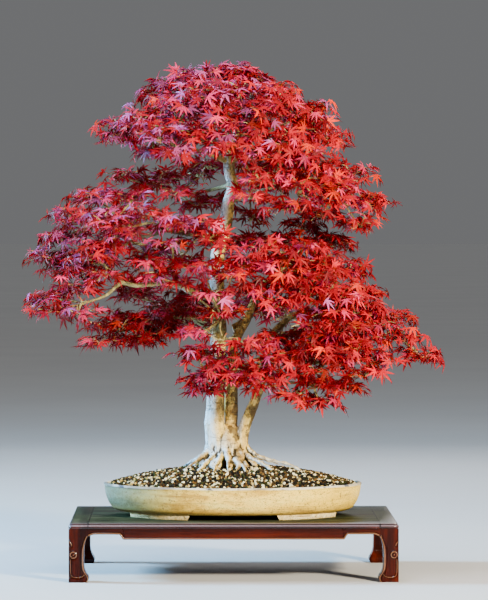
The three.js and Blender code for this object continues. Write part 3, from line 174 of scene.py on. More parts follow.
# Sprays of leaves: the bough that bears each, the hub where its shoots part, and its tufts as
# [x, y, z, half width, half depth, half height]. The smaller tufts close the crown's front.
SPRAY_PLACES = {
    "crown_apex": ("leader", [14, 0, 892], [
        [6, 0, 928, 50, 48, 12], [-70, -20, 917, 55, 50, 20], [76, -16, 894, 52, 50, 22],
        [-24, 10, 928, 44, 40, 12], [38, 6, 912, 44, 40, 12], [-114, -8, 904, 44, 40, 16],
        [4, -12, 936, 20, 18, 8],
    ]),
    "crown_left": ("left_crown", [-150, -20, 812], [
        [-142, -5, 880, 50, 50, 22], [-206, -25, 808, 52, 45, 18], [-140, -8, 782, 50, 42, 14],
        [-172, -22, 836, 42, 38, 16], [-214, -22, 832, 34, 30, 12],
    ]),
    "crown_left_front": ("left_crown", [-112, -50, 815], [
        [-105, -66, 862, 55, 48, 28], [-138, -78, 812, 48, 42, 24], [-62, -84, 886, 46, 38, 20],
        [-170, -60, 838, 42, 36, 18], [-106, -96, 776, 44, 34, 16],
    ]),
    "crown_front": ("front_crown", [-38, -72, 832], [
        [-28, -92, 866, 56, 42, 30], [-68, -106, 815, 50, 38, 26], [14, -96, 896, 46, 36, 22],
        [-22, -110, 838, 46, 34, 20], [-30, -112, 790, 40, 32, 18],
    ]),
    "crown_front_right": ("front_crown", [20, -70, 822], [
        [54, -92, 856, 55, 42, 30], [6, -108, 798, 46, 34, 24], [78, -86, 880, 44, 36, 20],
        [32, -112, 828, 44, 34, 22], [40, -112, 776, 40, 32, 18],
    ]),
    "crown_right": ("right_crown", [138, -14, 830], [
        [138, -10, 862, 54, 52, 22], [176, -25, 806, 52, 50, 24],
    ]),
    "crown_right_front": ("right_crown", [96, -50, 808], [
        [112, -84, 812, 56, 44, 30], [142, -70, 836, 44, 38, 20], [84, -108, 786, 44, 34, 20],
        [134, -96, 772, 42, 34, 18],
    ]),
    "crown_back": ("back_crown", [6, 78, 832], [
        [10, 92, 886, 66, 50, 34], [0, 36, 846, 50, 30, 24], [80, 38, 806, 46, 30, 20],
    ]),
    "crown_back_left": ("back_crown", [-40, 70, 812], [
        [-100, 80, 856, 62, 54, 34], [-86, 40, 812, 46, 30, 20],
    ]),
    "crown_back_right": ("back_crown", [48, 68, 812], [
        [115, 78, 856, 62, 54, 34],
    ]),
    "upper_right_far": ("right_high", [186, -18, 716], [
        [221, -18, 742, 46, 46, 24], [246, -24, 690, 58, 48, 26], [236, -40, 650, 34, 32, 24],
    ]),
    "upper_right_front": ("right_high", [140, -50, 722], [
        [148, -78, 750, 56, 44, 30], [176, -76, 690, 52, 42, 24], [190, -78, 716, 42, 36, 18],
    ]),
    "upper_right_inner": ("right_high", [78, -40, 720], [
        [82, -88, 758, 42, 36, 26], [95, -68, 681, 50, 40, 22], [122, -92, 722, 44, 34, 20],
        [52, -104, 730, 34, 30, 18], [30, -76, 700, 30, 26, 14],
    ]),
    "upper_right_back": ("right_high", [122, 24, 708], [
        [165, 66, 728, 70, 54, 34], [132, 46, 645, 40, 36, 20], [170, 14, 664, 46, 34, 12],
        [222, -4, 650, 34, 30, 12],
    ]),
    "upper_back_inner": ("back_crown", [30, 62, 752], [
        [58, 100, 752, 60, 44, 36], [34, 40, 664, 34, 32, 28], [8, 32, 770, 42, 28, 16],
        [-46, 34, 758, 40, 28, 14], [72, 40, 716, 44, 30, 18],
    ]),
    "upper_left_back": ("left_back", [-106, 55, 706], [
        [-140, 52, 728, 66, 50, 26], [-64, 74, 748, 50, 46, 30], [-206, 34, 740, 38, 34, 14],
        [-100, -10, 704, 42, 30, 12], [-66, 26, 684, 38, 28, 12], [-30, 30, 692, 30, 24, 12],
    ]),
    "left_top": ("left_high", [-214, -14, 664], [
        [-262, -4, 700, 54, 48, 22], [-190, 8, 696, 44, 46, 20],
    ]),
    "left_far": ("left_high", [-270, -18, 644], [
        [-300, -20, 662, 48, 46, 22], [-322, -12, 622, 52, 48, 22], [-338, -8, 586, 54, 42, 16],
    ]),
    "left_front": ("left_high", [-196, -58, 640], [
        [-236, -66, 652, 54, 40, 26], [-162, -58, 668, 44, 36, 20], [-198, -78, 634, 44, 34, 16],
        [-110, -80, 650, 40, 30, 12],
    ]),
    "left_middle": ("left_low_fork", [-242, -42, 576], [
        [-252, -58, 606, 50, 42, 24], [-300, -32, 560, 58, 46, 20], [-234, -60, 554, 34, 32, 12],
        [-272, -64, 588, 44, 34, 14],
    ]),
    "left_low": ("left_low", [-276, -52, 502], [
        [-290, -45, 527, 46, 40, 14], [-345, -18, 513, 48, 36, 12], [-340, -38, 491, 53, 36, 11],
        [-286, -60, 486, 38, 34, 14],
    ]),
    "left_trunk": ("left_high", [-66, -50, 632], [
        [-86, -82, 646, 54, 38, 22], [-38, -82, 614, 42, 36, 20],
    ]),
    "left_inner": ("left_low", [-122, -42, 558], [
        [-156, -26, 592, 48, 40, 16], [-84, -40, 576, 46, 38, 14], [-138, -56, 554, 38, 32, 10],
        [-112, -70, 612, 40, 32, 10], [-50, -84, 648, 34, 28, 10], [-158, -50, 574, 38, 30, 10],
    ]),
    "left_back": ("back_left", [-196, 72, 616], [
        [-235, 85, 650, 72, 54, 36], [-262, 62, 572, 60, 48, 28], [-206, 34, 612, 46, 30, 18],
    ]),
    "shade_left": ("left_shade", [-120, 28, 484], [
        [-66, 26, 510, 58, 48, 26], [-124, 32, 490, 48, 46, 16], [-194, 28, 472, 50, 44, 16],
        [-156, -6, 466, 42, 34, 12], [-108, -8, 484, 42, 34, 14], [-74, -10, 496, 40, 32, 14],
    ]),
    "shade_low": ("left_shade", [-186, 14, 452], [
        [-244, 12, 462, 46, 38, 14], [-246, -6, 428, 48, 34, 12], [-170, 2, 430, 50, 36, 12],
        [-130, 18, 452, 46, 38, 14], [-206, -10, 456, 42, 34, 12], [-150, -12, 440, 38, 32, 12],
    ]),
    "trunk_front": ("trunk_front", [-22, -50, 474], [
        [-24, -72, 484, 48, 36, 24], [-58, -92, 566, 40, 30, 14], [-6, -98, 552, 42, 30, 14],
        [-38, -98, 518, 42, 30, 16], [-96, -78, 540, 36, 28, 12], [-60, -76, 450, 38, 28, 10],
        [-18, -90, 440, 34, 26, 10],
    ]),
    "foot_left": ("left_foot", [-54, -46, 382], [
        [-60, -52, 410, 50, 40, 18], [-6, -76, 396, 44, 34, 20], [-62, -48, 364, 38, 32, 10],
        [-50, -56, 344, 36, 28, 8],
    ]),
    "back_foot_left": ("back_foot_left", [-104, 76, 488], [
        [-84, 96, 462, 66, 50, 32], [-185, 82, 520, 66, 48, 32],
    ]),
    "right_shade": ("second", [118, 42, 588], [
        [36, 46, 612, 60, 48, 20], [106, 46, 614, 52, 48, 20], [186, 26, 614, 62, 46, 20],
    ]),
    "right_shoulder_front": ("right_shoulder", [70, -54, 572], [
        [20, -74, 576, 54, 40, 24], [96, -86, 580, 50, 40, 26], [164, -78, 574, 50, 42, 28],
        [58, -88, 604, 42, 34, 18], [130, -96, 604, 42, 34, 16],
    ]),
    "right_shoulder_far": ("right_shoulder", [150, -30, 548], [
        [214, -26, 562, 50, 46, 24], [240, -26, 520, 46, 46, 18],
    ]),
    "right_middle": ("right_shoulder", [96, -60, 540], [
        [46, -78, 530, 56, 40, 18], [126, -94, 530, 50, 38, 24], [190, -72, 525, 50, 42, 24],
        [86, -96, 556, 44, 34, 18], [156, -98, 552, 44, 34, 18],
    ]),
    "right_front": ("third", [160, -44, 488], [
        [110, -64, 482, 48, 40, 20], [176, -76, 482, 50, 42, 22], [242, -48, 490, 46, 42, 18],
        [140, -92, 512, 44, 34, 18], [208, -82, 514, 42, 34, 16], [78, -92, 504, 36, 30, 14],
    ]),
    "right_far": ("third", [314, -22, 434], [
        [292, -18, 474, 50, 44, 16], [308, -32, 440, 50, 44, 20], [354, -16, 402, 48, 40, 14],
    ]),
    "right_tier": ("third", [180, -44, 454], [
        [98, -34, 442, 48, 42, 20], [168, -66, 440, 50, 42, 20], [236, -60, 440, 50, 42, 22],
        [132, -88, 462, 44, 34, 16], [204, -84, 462, 44, 34, 16], [270, -60, 464, 40, 34, 14],
    ]),
    "right_low": ("right_low", [194, -50, 394], [
        [122, -58, 402, 42, 34, 14], [196, -78, 406, 48, 40, 20], [262, -52, 400, 48, 40, 20],
        [240, -66, 374, 46, 38, 16], [152, -86, 422, 42, 34, 16], [226, -78, 420, 40, 34, 14],
        [150, -84, 380, 40, 30, 14],
    ]),
    "centre_low": ("third", [60, -44, 408], [
        [54, -64, 428, 48, 40, 20], [42, -84, 378, 50, 34, 18], [102, -68, 370, 40, 34, 16],
        [74, -92, 402, 40, 32, 16], [10, -92, 432, 38, 30, 14], [-30, -94, 372, 36, 26, 12],
        [8, -98, 364, 30, 26, 12], [52, -88, 356, 34, 26, 14],
    ]),
    "foot_right": ("right_foot", [148, -48, 348], [
        [108, -54, 332, 40, 34, 20], [160, -54, 320, 42, 34, 14], [162, -46, 354, 42, 36, 10],
        [212, -42, 346, 36, 34, 14],
    ]),
    "back_right": ("back_right", [112, 84, 538], [
        [132, 96, 562, 80, 52, 34], [58, 106, 486, 70, 44, 32], [150, 40, 528, 50, 32, 20],
        [90, 44, 436, 44, 28, 16],
    ]),
    "back_foot_right": ("back_foot_right", [158, 76, 442], [
        [226, 74, 470, 76, 52, 32], [134, 92, 404, 64, 42, 26],
    ]),
}


def stretched(row):
    """A row of the tables moved out to the front or back with the crown's stretch."""
    return [row[0], row[1] * CROWN_STRETCH, *row[2:]]


def tuft_in_crown(row):
    """A tuft drawn out to front and back, and kept within the crown's rounded depth at its height."""
    x, y, z, wide, deep, high = stretched(row)
    deep = deep * TUFT_STRETCH
    room = max(0, np.interp(z, CROWN_HEIGHTS, CROWN_DEPTHS) - TUFT_SHARE_INSIDE * deep)
    return [x, min(room, max(-room, y)), z, wide, deep, high]


# Boughs and sprays as they are drawn.
BOUGHS = {name: [rows[0], *map(stretched, rows[1:])] for name, rows in BOUGH_ROUTES.items()}
SPRAYS = {
    name: (bough, np.array(stretched(hub), float), [tuft_in_crown(tuft) for tuft in tufts])
    for name, (bough, hub, tufts) in SPRAY_PLACES.items()
}


# Mesh tools
class Shape:
    """Points, faces and per-point marks of one piece, gathered part by part in work millimetres."""

    def __init__(self):
        self.points, self.corners, self.sizes, self.marks, self.count = [], [], [], {}, 0

    def add(self, points, *face_sets, **marks):
        """Adds points, faces numbered from the first of them, and marks, as one value or one a point."""
        points = np.asarray(points, float).reshape(-1, 3)
        for faces in face_sets:
            faces = np.asarray(faces, int)
            self.corners.append((faces + self.count).ravel())
            self.sizes.append(np.full(len(faces), faces.shape[1]))
        for name, value in marks.items():
            value = np.asarray(value, float)
            shape = (len(points), 3) if value.shape[-1:] == (3,) else (len(points),)
            self.marks.setdefault(name, []).append(np.broadcast_to(value, shape))
        self.points.append(points)
        self.count += len(points)

    def build(self, name, finish, sharp_degrees=None):
        points = metres(np.concatenate(self.points)).astype(np.float32)
        corners, sizes = np.concatenate(self.corners), np.concatenate(self.sizes)
        mesh = bpy.data.meshes.new(name)
        mesh.vertices.add(len(points))
        mesh.vertices.foreach_set("co", points.ravel())
        mesh.loops.add(len(corners))
        mesh.loops.foreach_set("vertex_index", corners.astype(np.int32))
        mesh.polygons.add(len(sizes))
        starts = np.concatenate([[0], np.cumsum(sizes)[:-1]])
        mesh.polygons.foreach_set("loop_start", starts.astype(np.int32))
        mesh.update(calc_edges=True)
        for mark, values in self.marks.items():
            set_mark(mesh, mark, np.concatenate(values))
        return placed(name, mesh, finish, sharp_degrees)


def set_mark(mesh, name, values):
    if values.ndim == 2:
        colours = np.concatenate([values, np.ones((len(values), 1))], axis=1).astype(np.float32)
        mesh.attributes.new(name, "FLOAT_COLOR", "POINT").data.foreach_set("color", colours.ravel())
    else:
        mesh.attributes.new(name, "FLOAT", "POINT").data.foreach_set("value", values.astype(np.float32))


def placed(name, mesh, finish, sharp_degrees):
    """Puts a mesh in the scene as one piece, smooth except at edges sharper than the given angle."""
    if sharp_degrees is None:
        mesh.shade_flat()
    else:
        mesh.shade_smooth()
        mesh.set_sharp_from_angle(angle=math.radians(sharp_degrees))
    piece = bpy.data.objects.new(name, mesh)
    bpy.context.scene.collection.objects.link(piece)
    if finish:
        mesh.materials.append(finish)
    return piece


def settle(piece, slot, *nodes):
    """Ties a finished piece to the object: it rides the root body, and stands for the CAD nodes named."""
    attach(piece, "root")
    if nodes:
        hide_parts(*nodes)


def applied(piece):
    """Works a piece's modifiers into its mesh."""
    seen = piece.evaluated_get(bpy.context.evaluated_depsgraph_get())
    mesh = bpy.data.meshes.new_from_object(seen)
    old = piece.data
    piece.modifiers.clear()
    piece.data = mesh
    bpy.data.meshes.remove(old)
    return piece


def unit(vectors):
    return vectors / np.maximum(np.linalg.norm(vectors, axis=-1, keepdims=True), 1e-9)


def curve_through(rows, steps):
    """A smooth curve through rows of [x, y, z, ...], with the other columns carried along."""
    rows = np.asarray(rows, float)
    rows = np.concatenate([[2 * rows[0] - rows[1]], rows, [2 * rows[-1] - rows[-2]]])
    out = []
    for i in range(1, len(rows) - 2):
        p0, p1, p2, p3 = rows[i - 1:i + 3]
        knots = np.cumsum([0] + [max(np.linalg.norm(b[:3] - a[:3]), 0.01) ** 0.5
                                 for a, b in ((p0, p1), (p1, p2), (p2, p3))])
        t0, t1, t2, t3 = knots
        t = np.linspace(t1, t2, steps, endpoint=False)[:, None]
        a1 = (t1 - t) / (t1 - t0) * p0 + (t - t0) / (t1 - t0) * p1
        a2 = (t2 - t) / (t2 - t1) * p1 + (t - t1) / (t2 - t1) * p2
        a3 = (t3 - t) / (t3 - t2) * p2 + (t - t2) / (t3 - t2) * p3
        b1 = (t2 - t) / (t2 - t0) * a1 + (t - t0) / (t2 - t0) * a2
        b2 = (t3 - t) / (t3 - t1) * a2 + (t - t1) / (t3 - t1) * a3
        out.append((t2 - t) / (t2 - t1) * b1 + (t - t1) / (t2 - t1) * b2)
    out.append(rows[-2][None, :])
    return np.concatenate(out)


def grid_faces(rows, columns):
    """Quads between rings of points, each ring closed on itself."""
    i, j = np.meshgrid(np.arange(rows - 1), np.arange(columns), indexing="ij")
    i, j = i.ravel(), j.ravel()
    k = (j + 1) % columns
    return np.stack([i * columns + j, i * columns + k, (i + 1) * columns + k, (i + 1) * columns + j], axis=1)


def turns_round(sides):
    return np.arange(sides) / sides * 2 * math.pi


def loft(shape, rings, turned=False, **marks):
    """Skins rings of points into one closed body. Rings that run the other way round need it turned."""
    columns, last = len(rings[0]), (len(rings) - 1) * len(rings[0])
    faces = grid_faces(len(rings), columns)
    ends = [list(range(columns))[::-1], list(range(last, last + columns))]
    if turned:
        faces, ends = faces[:, ::-1], [end[::-1] for end in ends]
    shape.add(np.concatenate(rings), faces, ends, **marks)


def tube(shape, rows, sides):
    """A closed round limb along rows of [x, y, z, radius]."""
    rows = np.asarray(rows, float)
    centres, radii = rows[:, :3], rows[:, 3]
    along = unit(np.gradient(centres, axis=0))
    start = np.array([0.0, 0.0, 1.0]) if abs(along[0][2]) < 0.9 else np.array([1.0, 0.0, 0.0])
    side = np.cross(along[0], start)
    turns = turns_round(sides)
    rings = []
    for centre, direction, radius in zip(centres, along, radii):
        side = unit(side - direction * np.dot(side, direction))
        up = np.cross(direction, side)
        rings.append(centre + radius * (np.cos(turns)[:, None] * side + np.sin(turns)[:, None] * up))
    loft(shape, rings)


def oval_ring(radius, z, sides, wobble=0.0):
    """A ring that follows the tray's oval, pulled in here and there by the wobble of a hand-made thing."""
    turns = turns_round(sides)
    ripple = 0.6 * np.sin(2 * turns + 0.7) + 0.4 * np.sin(5 * turns + 2.0) + 0.25 * np.sin(11 * turns)
    reach = radius - wobble * np.abs(ripple)
    return np.stack([reach * np.cos(turns), reach * np.sin(turns) * SQUEEZE, np.full(sides, z)], 1)


def steps_between(low, high, value):
    """Rises smoothly from 0 to 1 as the value goes from low to high."""
    t = np.clip((np.asarray(value, float) - low) / (high - low), 0, 1)
    return t * t * (3 - 2 * t)


# Shader tools
class Wire:
    """A node's output in an expression: each operator adds its Math node."""

    def __init__(self, finish, socket):
        self.finish, self.socket = finish, socket

    def math(self, operation, *others, clamp=False):
        settings = {"operation": operation, "use_clamp": clamp}
        return self.finish.node("Math", settings, dict(enumerate((self, *others))))

    def reversed_math(self, operation, other):
        return self.finish.node("Math", {"operation": operation}, {0: other, 1: self})

    def __add__(self, other):
        return self.math("ADD", other)

    def __sub__(self, other):
        return self.math("SUBTRACT", other)

    def __rsub__(self, other):
        return self.reversed_math("SUBTRACT", other)

    def __mul__(self, other):
        return self.math("MULTIPLY", other)

    __radd__ = __add__
    __rmul__ = __mul__

    def clamped(self):
        return self.math("ADD", 0.0, clamp=True)


class Finish:
    """One material, built from its shader's constant values and the wires that vary over the surface."""

    def __init__(self, name, **constants):
        self.material = bpy.data.materials.new(name)
        self.material.use_nodes = True
        self.nodes, self.links = self.material.node_tree.nodes, self.material.node_tree.links
        self.nodes.clear()
        self.output = self.nodes.new("ShaderNodeOutputMaterial")
        self.shader = self.nodes.new("ShaderNodeBsdfPrincipled")
        self.connect(self.shader.outputs[0], self.output.inputs["Surface"])
        for socket, value in constants.items():
            self.shader.inputs[socket.replace("_", " ")].default_value = value

    def connect(self, value, socket):
        if isinstance(value, Wire):
            value = value.socket
        if isinstance(value, bpy.types.NodeSocket):
            self.links.new(value, socket)
        elif isinstance(value, tuple) and len(value) == 3 and socket.type == "RGBA":
            socket.default_value = (*value, 1.0)
        else:
            socket.default_value = value

    def node(self, kind, settings=None, inputs=None, output=0):
        """Any node: first its settings, a ramp's stops among them, then its sockets' values or links."""
        made = self.nodes.new("ShaderNode" + kind)
        settings = dict(settings or {})
        stops = settings.pop("stops", None)
        for name, value in settings.items():
            setattr(made, name, value)
        if stops:
            ramp = made.color_ramp
            while len(ramp.elements) < len(stops):
                ramp.elements.new(1.0)
            for element, (place, colour) in zip(ramp.elements, stops):
                element.position = place
                element.color = (*colour, 1.0)
        for name, value in (inputs or {}).items():
            self.connect(value, made.inputs[name])
        return Wire(self, made.outputs[output])

    def place(self, scale=(1, 1, 1)):
        """The point of the surface in the object's own frame, stretched for textures that run one way."""
        spot = self.node("TexCoord", output="Object")
        return self.node("VectorMath", {"operation": "MULTIPLY"}, {0: spot, 1: scale})

    def clouds(self, scale, detail, roughness=0.55, stretch=(1, 1, 1), shift=0.0):
        spot = self.place(stretch)
        if shift:
            spot = self.node("VectorMath", {"operation": "ADD"}, {0: spot, 1: (shift, shift, shift)})
        return self.node("TexNoise", None, {
            "Vector": spot, "Scale": scale, "Detail": detail, "Roughness": roughness,
        }, "Fac")

    def cells(self, scale, stretch):
        return self.node("TexVoronoi", None, {"Vector": self.place(stretch), "Scale": scale}, "Distance")

    def step(self, value, low, high):
        """Rises smoothly from 0 to 1 as the value goes from low to high."""
        return self.node("MapRange", {"interpolation_type": "SMOOTHSTEP"}, {
            "Value": value, "From Min": low, "From Max": high,
        })

    def mix(self, factor, first, second, blend="MIX"):
        settings = {"data_type": "RGBA", "blend_type": blend}
        return self.node("Mix", settings, {0: factor, 6: first, 7: second}, 2)

    def ramp(self, value, *stops):
        return self.node("ValToRGB", {"stops": stops}, {"Fac": value}, "Color")

    def mark(self, name, output):
        return self.node("Attribute", {"attribute_name": name}, None, output)

    def relief(self, height, distance):
        bump = self.node("Bump", None, {"Height": height, "Distance": distance}, "Normal")
        self.connect(bump, self.shader.inputs["Normal"])

    def varies(self, **wires):
        for socket, wire in wires.items():
            self.connect(wire, self.shader.inputs[socket.replace("_", " ")])

    def letting_light_through(self, colour, share):
        """Adds the light that shines through a thin blade."""
        glow = self.nodes.new("ShaderNodeBsdfTranslucent")
        glow.inputs["Color"].default_value = (*colour, 1.0)
        blend = self.nodes.new("ShaderNodeMixShader")
        blend.inputs[0].default_value = share
        self.links.new(self.shader.outputs[0], blend.inputs[1])
        self.links.new(glow.outputs[0], blend.inputs[2])
        self.links.new(blend.outputs[0], self.output.inputs["Surface"])
        return self


# Finishes
def leaf_finish(name, glow):
    leaf = Finish(name, Specular_IOR_Level=0.18)
    # The tint mark carries each leaf's colour, painted shade and painted sheen among them.
    tint = leaf.mark("tint", "Color")
    vein = leaf.step(leaf.mark("rib", "Fac"), 0.86, 0.97)
    mottle = leaf.clouds(170, 3.0)
    flecks = leaf.step(leaf.clouds(900, 2.0), 0.62, 0.74)
    shade = leaf.mix(mottle * 0.5, tint, (0.62, 0.50, 0.52), "MULTIPLY")
    lighter = leaf.mix(leaf.step(mottle, 0.52, 0.72) * 0.2, shade, (0.55, 0.006, 0.018))
    veined = leaf.mix(vein * 0.22, lighter, (0.62, 0.04, 0.03))
    leaf.varies(
        Base_Color=leaf.mix(flecks * 0.3, veined, (0.07, 0.002, 0.003)),
        Roughness=0.34 + mottle * 0.22,
    )
    leaf.relief(vein * 0.5 + leaf.clouds(420, 2.0) * 0.5, 0.0004)
    return leaf.letting_light_through(glow, 0.26).material


def bark_finish():
    """Smooth pale maple bark: bluish white on left-facing sides as painted light from the left, golden on
    right-facing sides as painted warm light, besides its stained parts; browned in clouds, dark in folds and
    between roots as painted shade, olive on thin wood.
    """
    bark = Finish("bark", Specular_IOR_Level=0.25)
    slender = 1 - bark.step(bark.mark("girth", "Fac"), 3.4, 8.0)
    stain_and_painted_light = bark.mark("stain_and_painted_light", "Fac")
    extra = stain_and_painted_light - 0.5
    streaks = bark.clouds(80, 5.0, 0.62, (1, 1, 0.18))
    patches = bark.clouds(26, 5.0, 0.62, (1, 1, 0.6))
    clouds = bark.clouds(48, 5.0, 0.68, (1, 1, 0.75), 9.0)
    mottles = bark.clouds(115, 5.0, 0.7, (1, 1, 0.7), 3.0)
    rings = bark.step(bark.clouds(58, 3.0, 0.6, (0.5, 0.5, 3.2), 4.0), 0.56, 0.66)
    pores = 1 - bark.step(bark.cells(300, (1, 1, 0.6)), 0.08, 0.22)
    # Painted light: the bluish white top of this ramp and the golden ramp stand for the bluish light on
    # left-facing bark and the warm light on right-facing bark; the mark mixes them with real stains.
    pale = bark.ramp(
        streaks, (0.30, (0.50, 0.47, 0.38)), (0.50, (0.76, 0.83, 0.84)), (0.68, (0.84, 0.95, 1.0)),
    )
    gold = bark.ramp(streaks, (0.32, (0.72, 0.44, 0.07)), (0.66, (1.0, 0.75, 0.20)))
    cream = bark.mix(bark.step(stain_and_painted_light, 0.28, 0.60), pale, gold)
    tan = bark.mix(bark.step(patches + extra * 0.24, 0.50, 0.60) * 0.75, cream, (0.46, 0.28, 0.08))
    brown = bark.mix(bark.step(clouds + extra * 0.22, 0.54, 0.62) * 0.85, tan, (0.12, 0.07, 0.022))
    speckled = bark.mix(bark.step(mottles + extra * 0.14, 0.53, 0.60) * 0.7, brown, (0.12, 0.07, 0.022))
    ringed = bark.mix(rings * (0.1 + stain_and_painted_light * 0.5).clamped(), speckled, (0.12, 0.07, 0.025))
    young = bark.ramp(streaks, (0.3, (0.10, 0.085, 0.022)), (0.7, (0.40, 0.32, 0.12)))
    aged = bark.mix(slender, ringed, young)
    # Painted shade: dark brown in the folds and between the roots.
    with_painted_fold_shade = bark.mix(bark.step(bark.mark("hollow", "Fac"), 0.15, 0.70) * 0.94, aged, (0.034, 0.022, 0.006))
    bark.varies(
        Base_Color=bark.mix(pores * 0.4, with_painted_fold_shade, (0.10, 0.06, 0.03)),
        Roughness=0.58 + streaks * 0.25,
    )
    raised = streaks * 0.5 + mottles * 0.8 + bark.clouds(240, 4.0, 0.6) * 0.4
    bark.relief(raised - pores * 0.3 - rings * 0.4, 0.004)
    return bark.material


def twig_finish():
    twig = Finish("twig_bark", Specular_IOR_Level=0.4)
    tone = twig.clouds(160, 3.0, 0.5, (1, 1, 0.4))
    buds = twig.step(twig.clouds(60, 2.0), 0.56, 0.66)
    olive = twig.ramp(tone, (0.3, (0.17, 0.14, 0.04)), (0.7, (0.42, 0.33, 0.12)))
    twig.varies(Base_Color=twig.mix(buds, olive, (0.28, 0.07, 0.03)), Roughness=0.45 + tone * 0.25)
    twig.relief(tone, 0.0006)
    return twig.material


def grit_finish():
    grit = Finish("grit", Specular_IOR_Level=0.08)
    tint = grit.mark("tint", "Color")
    pits = grit.clouds(900, 3.0, 0.7)
    dust = grit.clouds(60, 3.0)
    worn = grit.mix(grit.step(pits, 0.52, 0.66) * 0.45, tint, (0.30, 0.22, 0.14), "MULTIPLY")
    grit.varies(Base_Color=grit.mix(dust * 0.05, worn, (0.35, 0.27, 0.16)), Roughness=0.66 + pits * 0.3)
    grit.relief(pits, 0.0008)
    return grit.material


# Heights of the tray in metres, from and to: bare clay at the foot, pooled glaze above it, and the worn lip.
BARE_FOOT, POOLED, WORN_LIP = (0.1148, 0.1172), (0.1165, 0.133), (0.1635, 0.1655)


def glaze_finish():
    """Cream glaze over a speckled body: browner where it pools low down, worn pale on the rim, greyed
    blue-green on the left end as painted shade under bluish light, and yellower on the right as painted warm
    light.
    """
    glaze = Finish("cream_glaze", Coat_Roughness=0.14, Coat_IOR=1.5, Specular_IOR_Level=0.12)
    height = glaze.node("SeparateXYZ", None, {0: glaze.place()}, "Z")
    across = glaze.node("SeparateXYZ", None, {0: glaze.place()}, "X")
    drift = glaze.clouds(9, 4.0, 0.6, (1, 1, 2.6))
    streaks = glaze.clouds(26, 5.0, 0.62, (0.5, 0.5, 3.4), 3.0)
    mottle = glaze.clouds(120, 4.0, 0.6)
    grains = glaze.step(glaze.clouds(430, 3.0, 0.6, (1, 1, 1.3)), 0.56, 0.63)
    dots = glaze.step(glaze.clouds(190, 3.0, 0.6, shift=2.0), 0.60, 0.66)
    lines = glaze.step(glaze.clouds(60, 4.0, 0.62, (0.35, 0.35, 5.0), 6.0), 0.56, 0.66)
    cream = glaze.ramp(
        drift + (streaks - 0.5) * 0.9 + (mottle - 0.5) * 0.35,
        (0.34, (0.58, 0.34, 0.04)), (0.50, (0.94, 0.63, 0.10)), (0.68, (1.0, 0.76, 0.17)),
    )
    # Painted light: the left end is greyed blue-green for the bluish light from the left, and the right is
    # yellowed for the warm light.
    painted_cool_light = glaze.step(across * -1.0 + (drift - 0.5) * 0.10, 0.05, 0.25)
    cream = glaze.mix(glaze.step(across, 0.0, 0.2) * 0.6, cream, (1.0, 0.68, 0.045))
    painted_cool_shade_tone = glaze.ramp(mottle, (0.3, (0.05, 0.10, 0.085)), (0.7, (0.11, 0.18, 0.155)))
    with_painted_cool_shade = glaze.mix(painted_cool_light * 0.9, cream, painted_cool_shade_tone)
    low = 1 - glaze.step(height + (streaks - 0.5) * 0.014, *POOLED)
    pooled = glaze.mix(low * 0.75, with_painted_cool_shade, (0.34, 0.20, 0.045))
    foot = 1 - glaze.step(height, *BARE_FOOT)
    clay = glaze.ramp(mottle, (0.3, (0.62, 0.45, 0.16)), (0.7, (0.96, 0.82, 0.46)))
    bare = glaze.mix(foot, pooled, clay)
    lined = glaze.mix(lines * (0.3 + low * 0.5), bare, (0.22, 0.12, 0.035))
    specked = glaze.mix((grains * 0.6 + dots * 0.65).clamped(), lined, (0.19, 0.115, 0.04))
    lip = glaze.step(height + (drift - 0.5) * 0.006, *WORN_LIP)
    rubbed = glaze.ramp(streaks, (0.40, (0.22, 0.20, 0.17)), (0.58, (0.72, 0.68, 0.58)))
    worn = glaze.mix(lip * 0.85, specked, rubbed)
    chips = glaze.step(glaze.clouds(30, 3.0, shift=5.0), 0.58, 0.64)
    glaze.varies(
        Base_Color=glaze.mix(lip * chips, worn, (0.10, 0.105, 0.12)),
        Roughness=0.34 + mottle * 0.16 + lip * 0.2 + foot * 0.25 + grains * 0.15,
        Coat_Weight=(0.09 - lip * 0.07 - foot * 0.09).clamped(),
    )
    glaze.relief(streaks * 0.5 + mottle * 0.25 - dots * 0.3 - lines * 0.3, 0.0012)
    return glaze.material


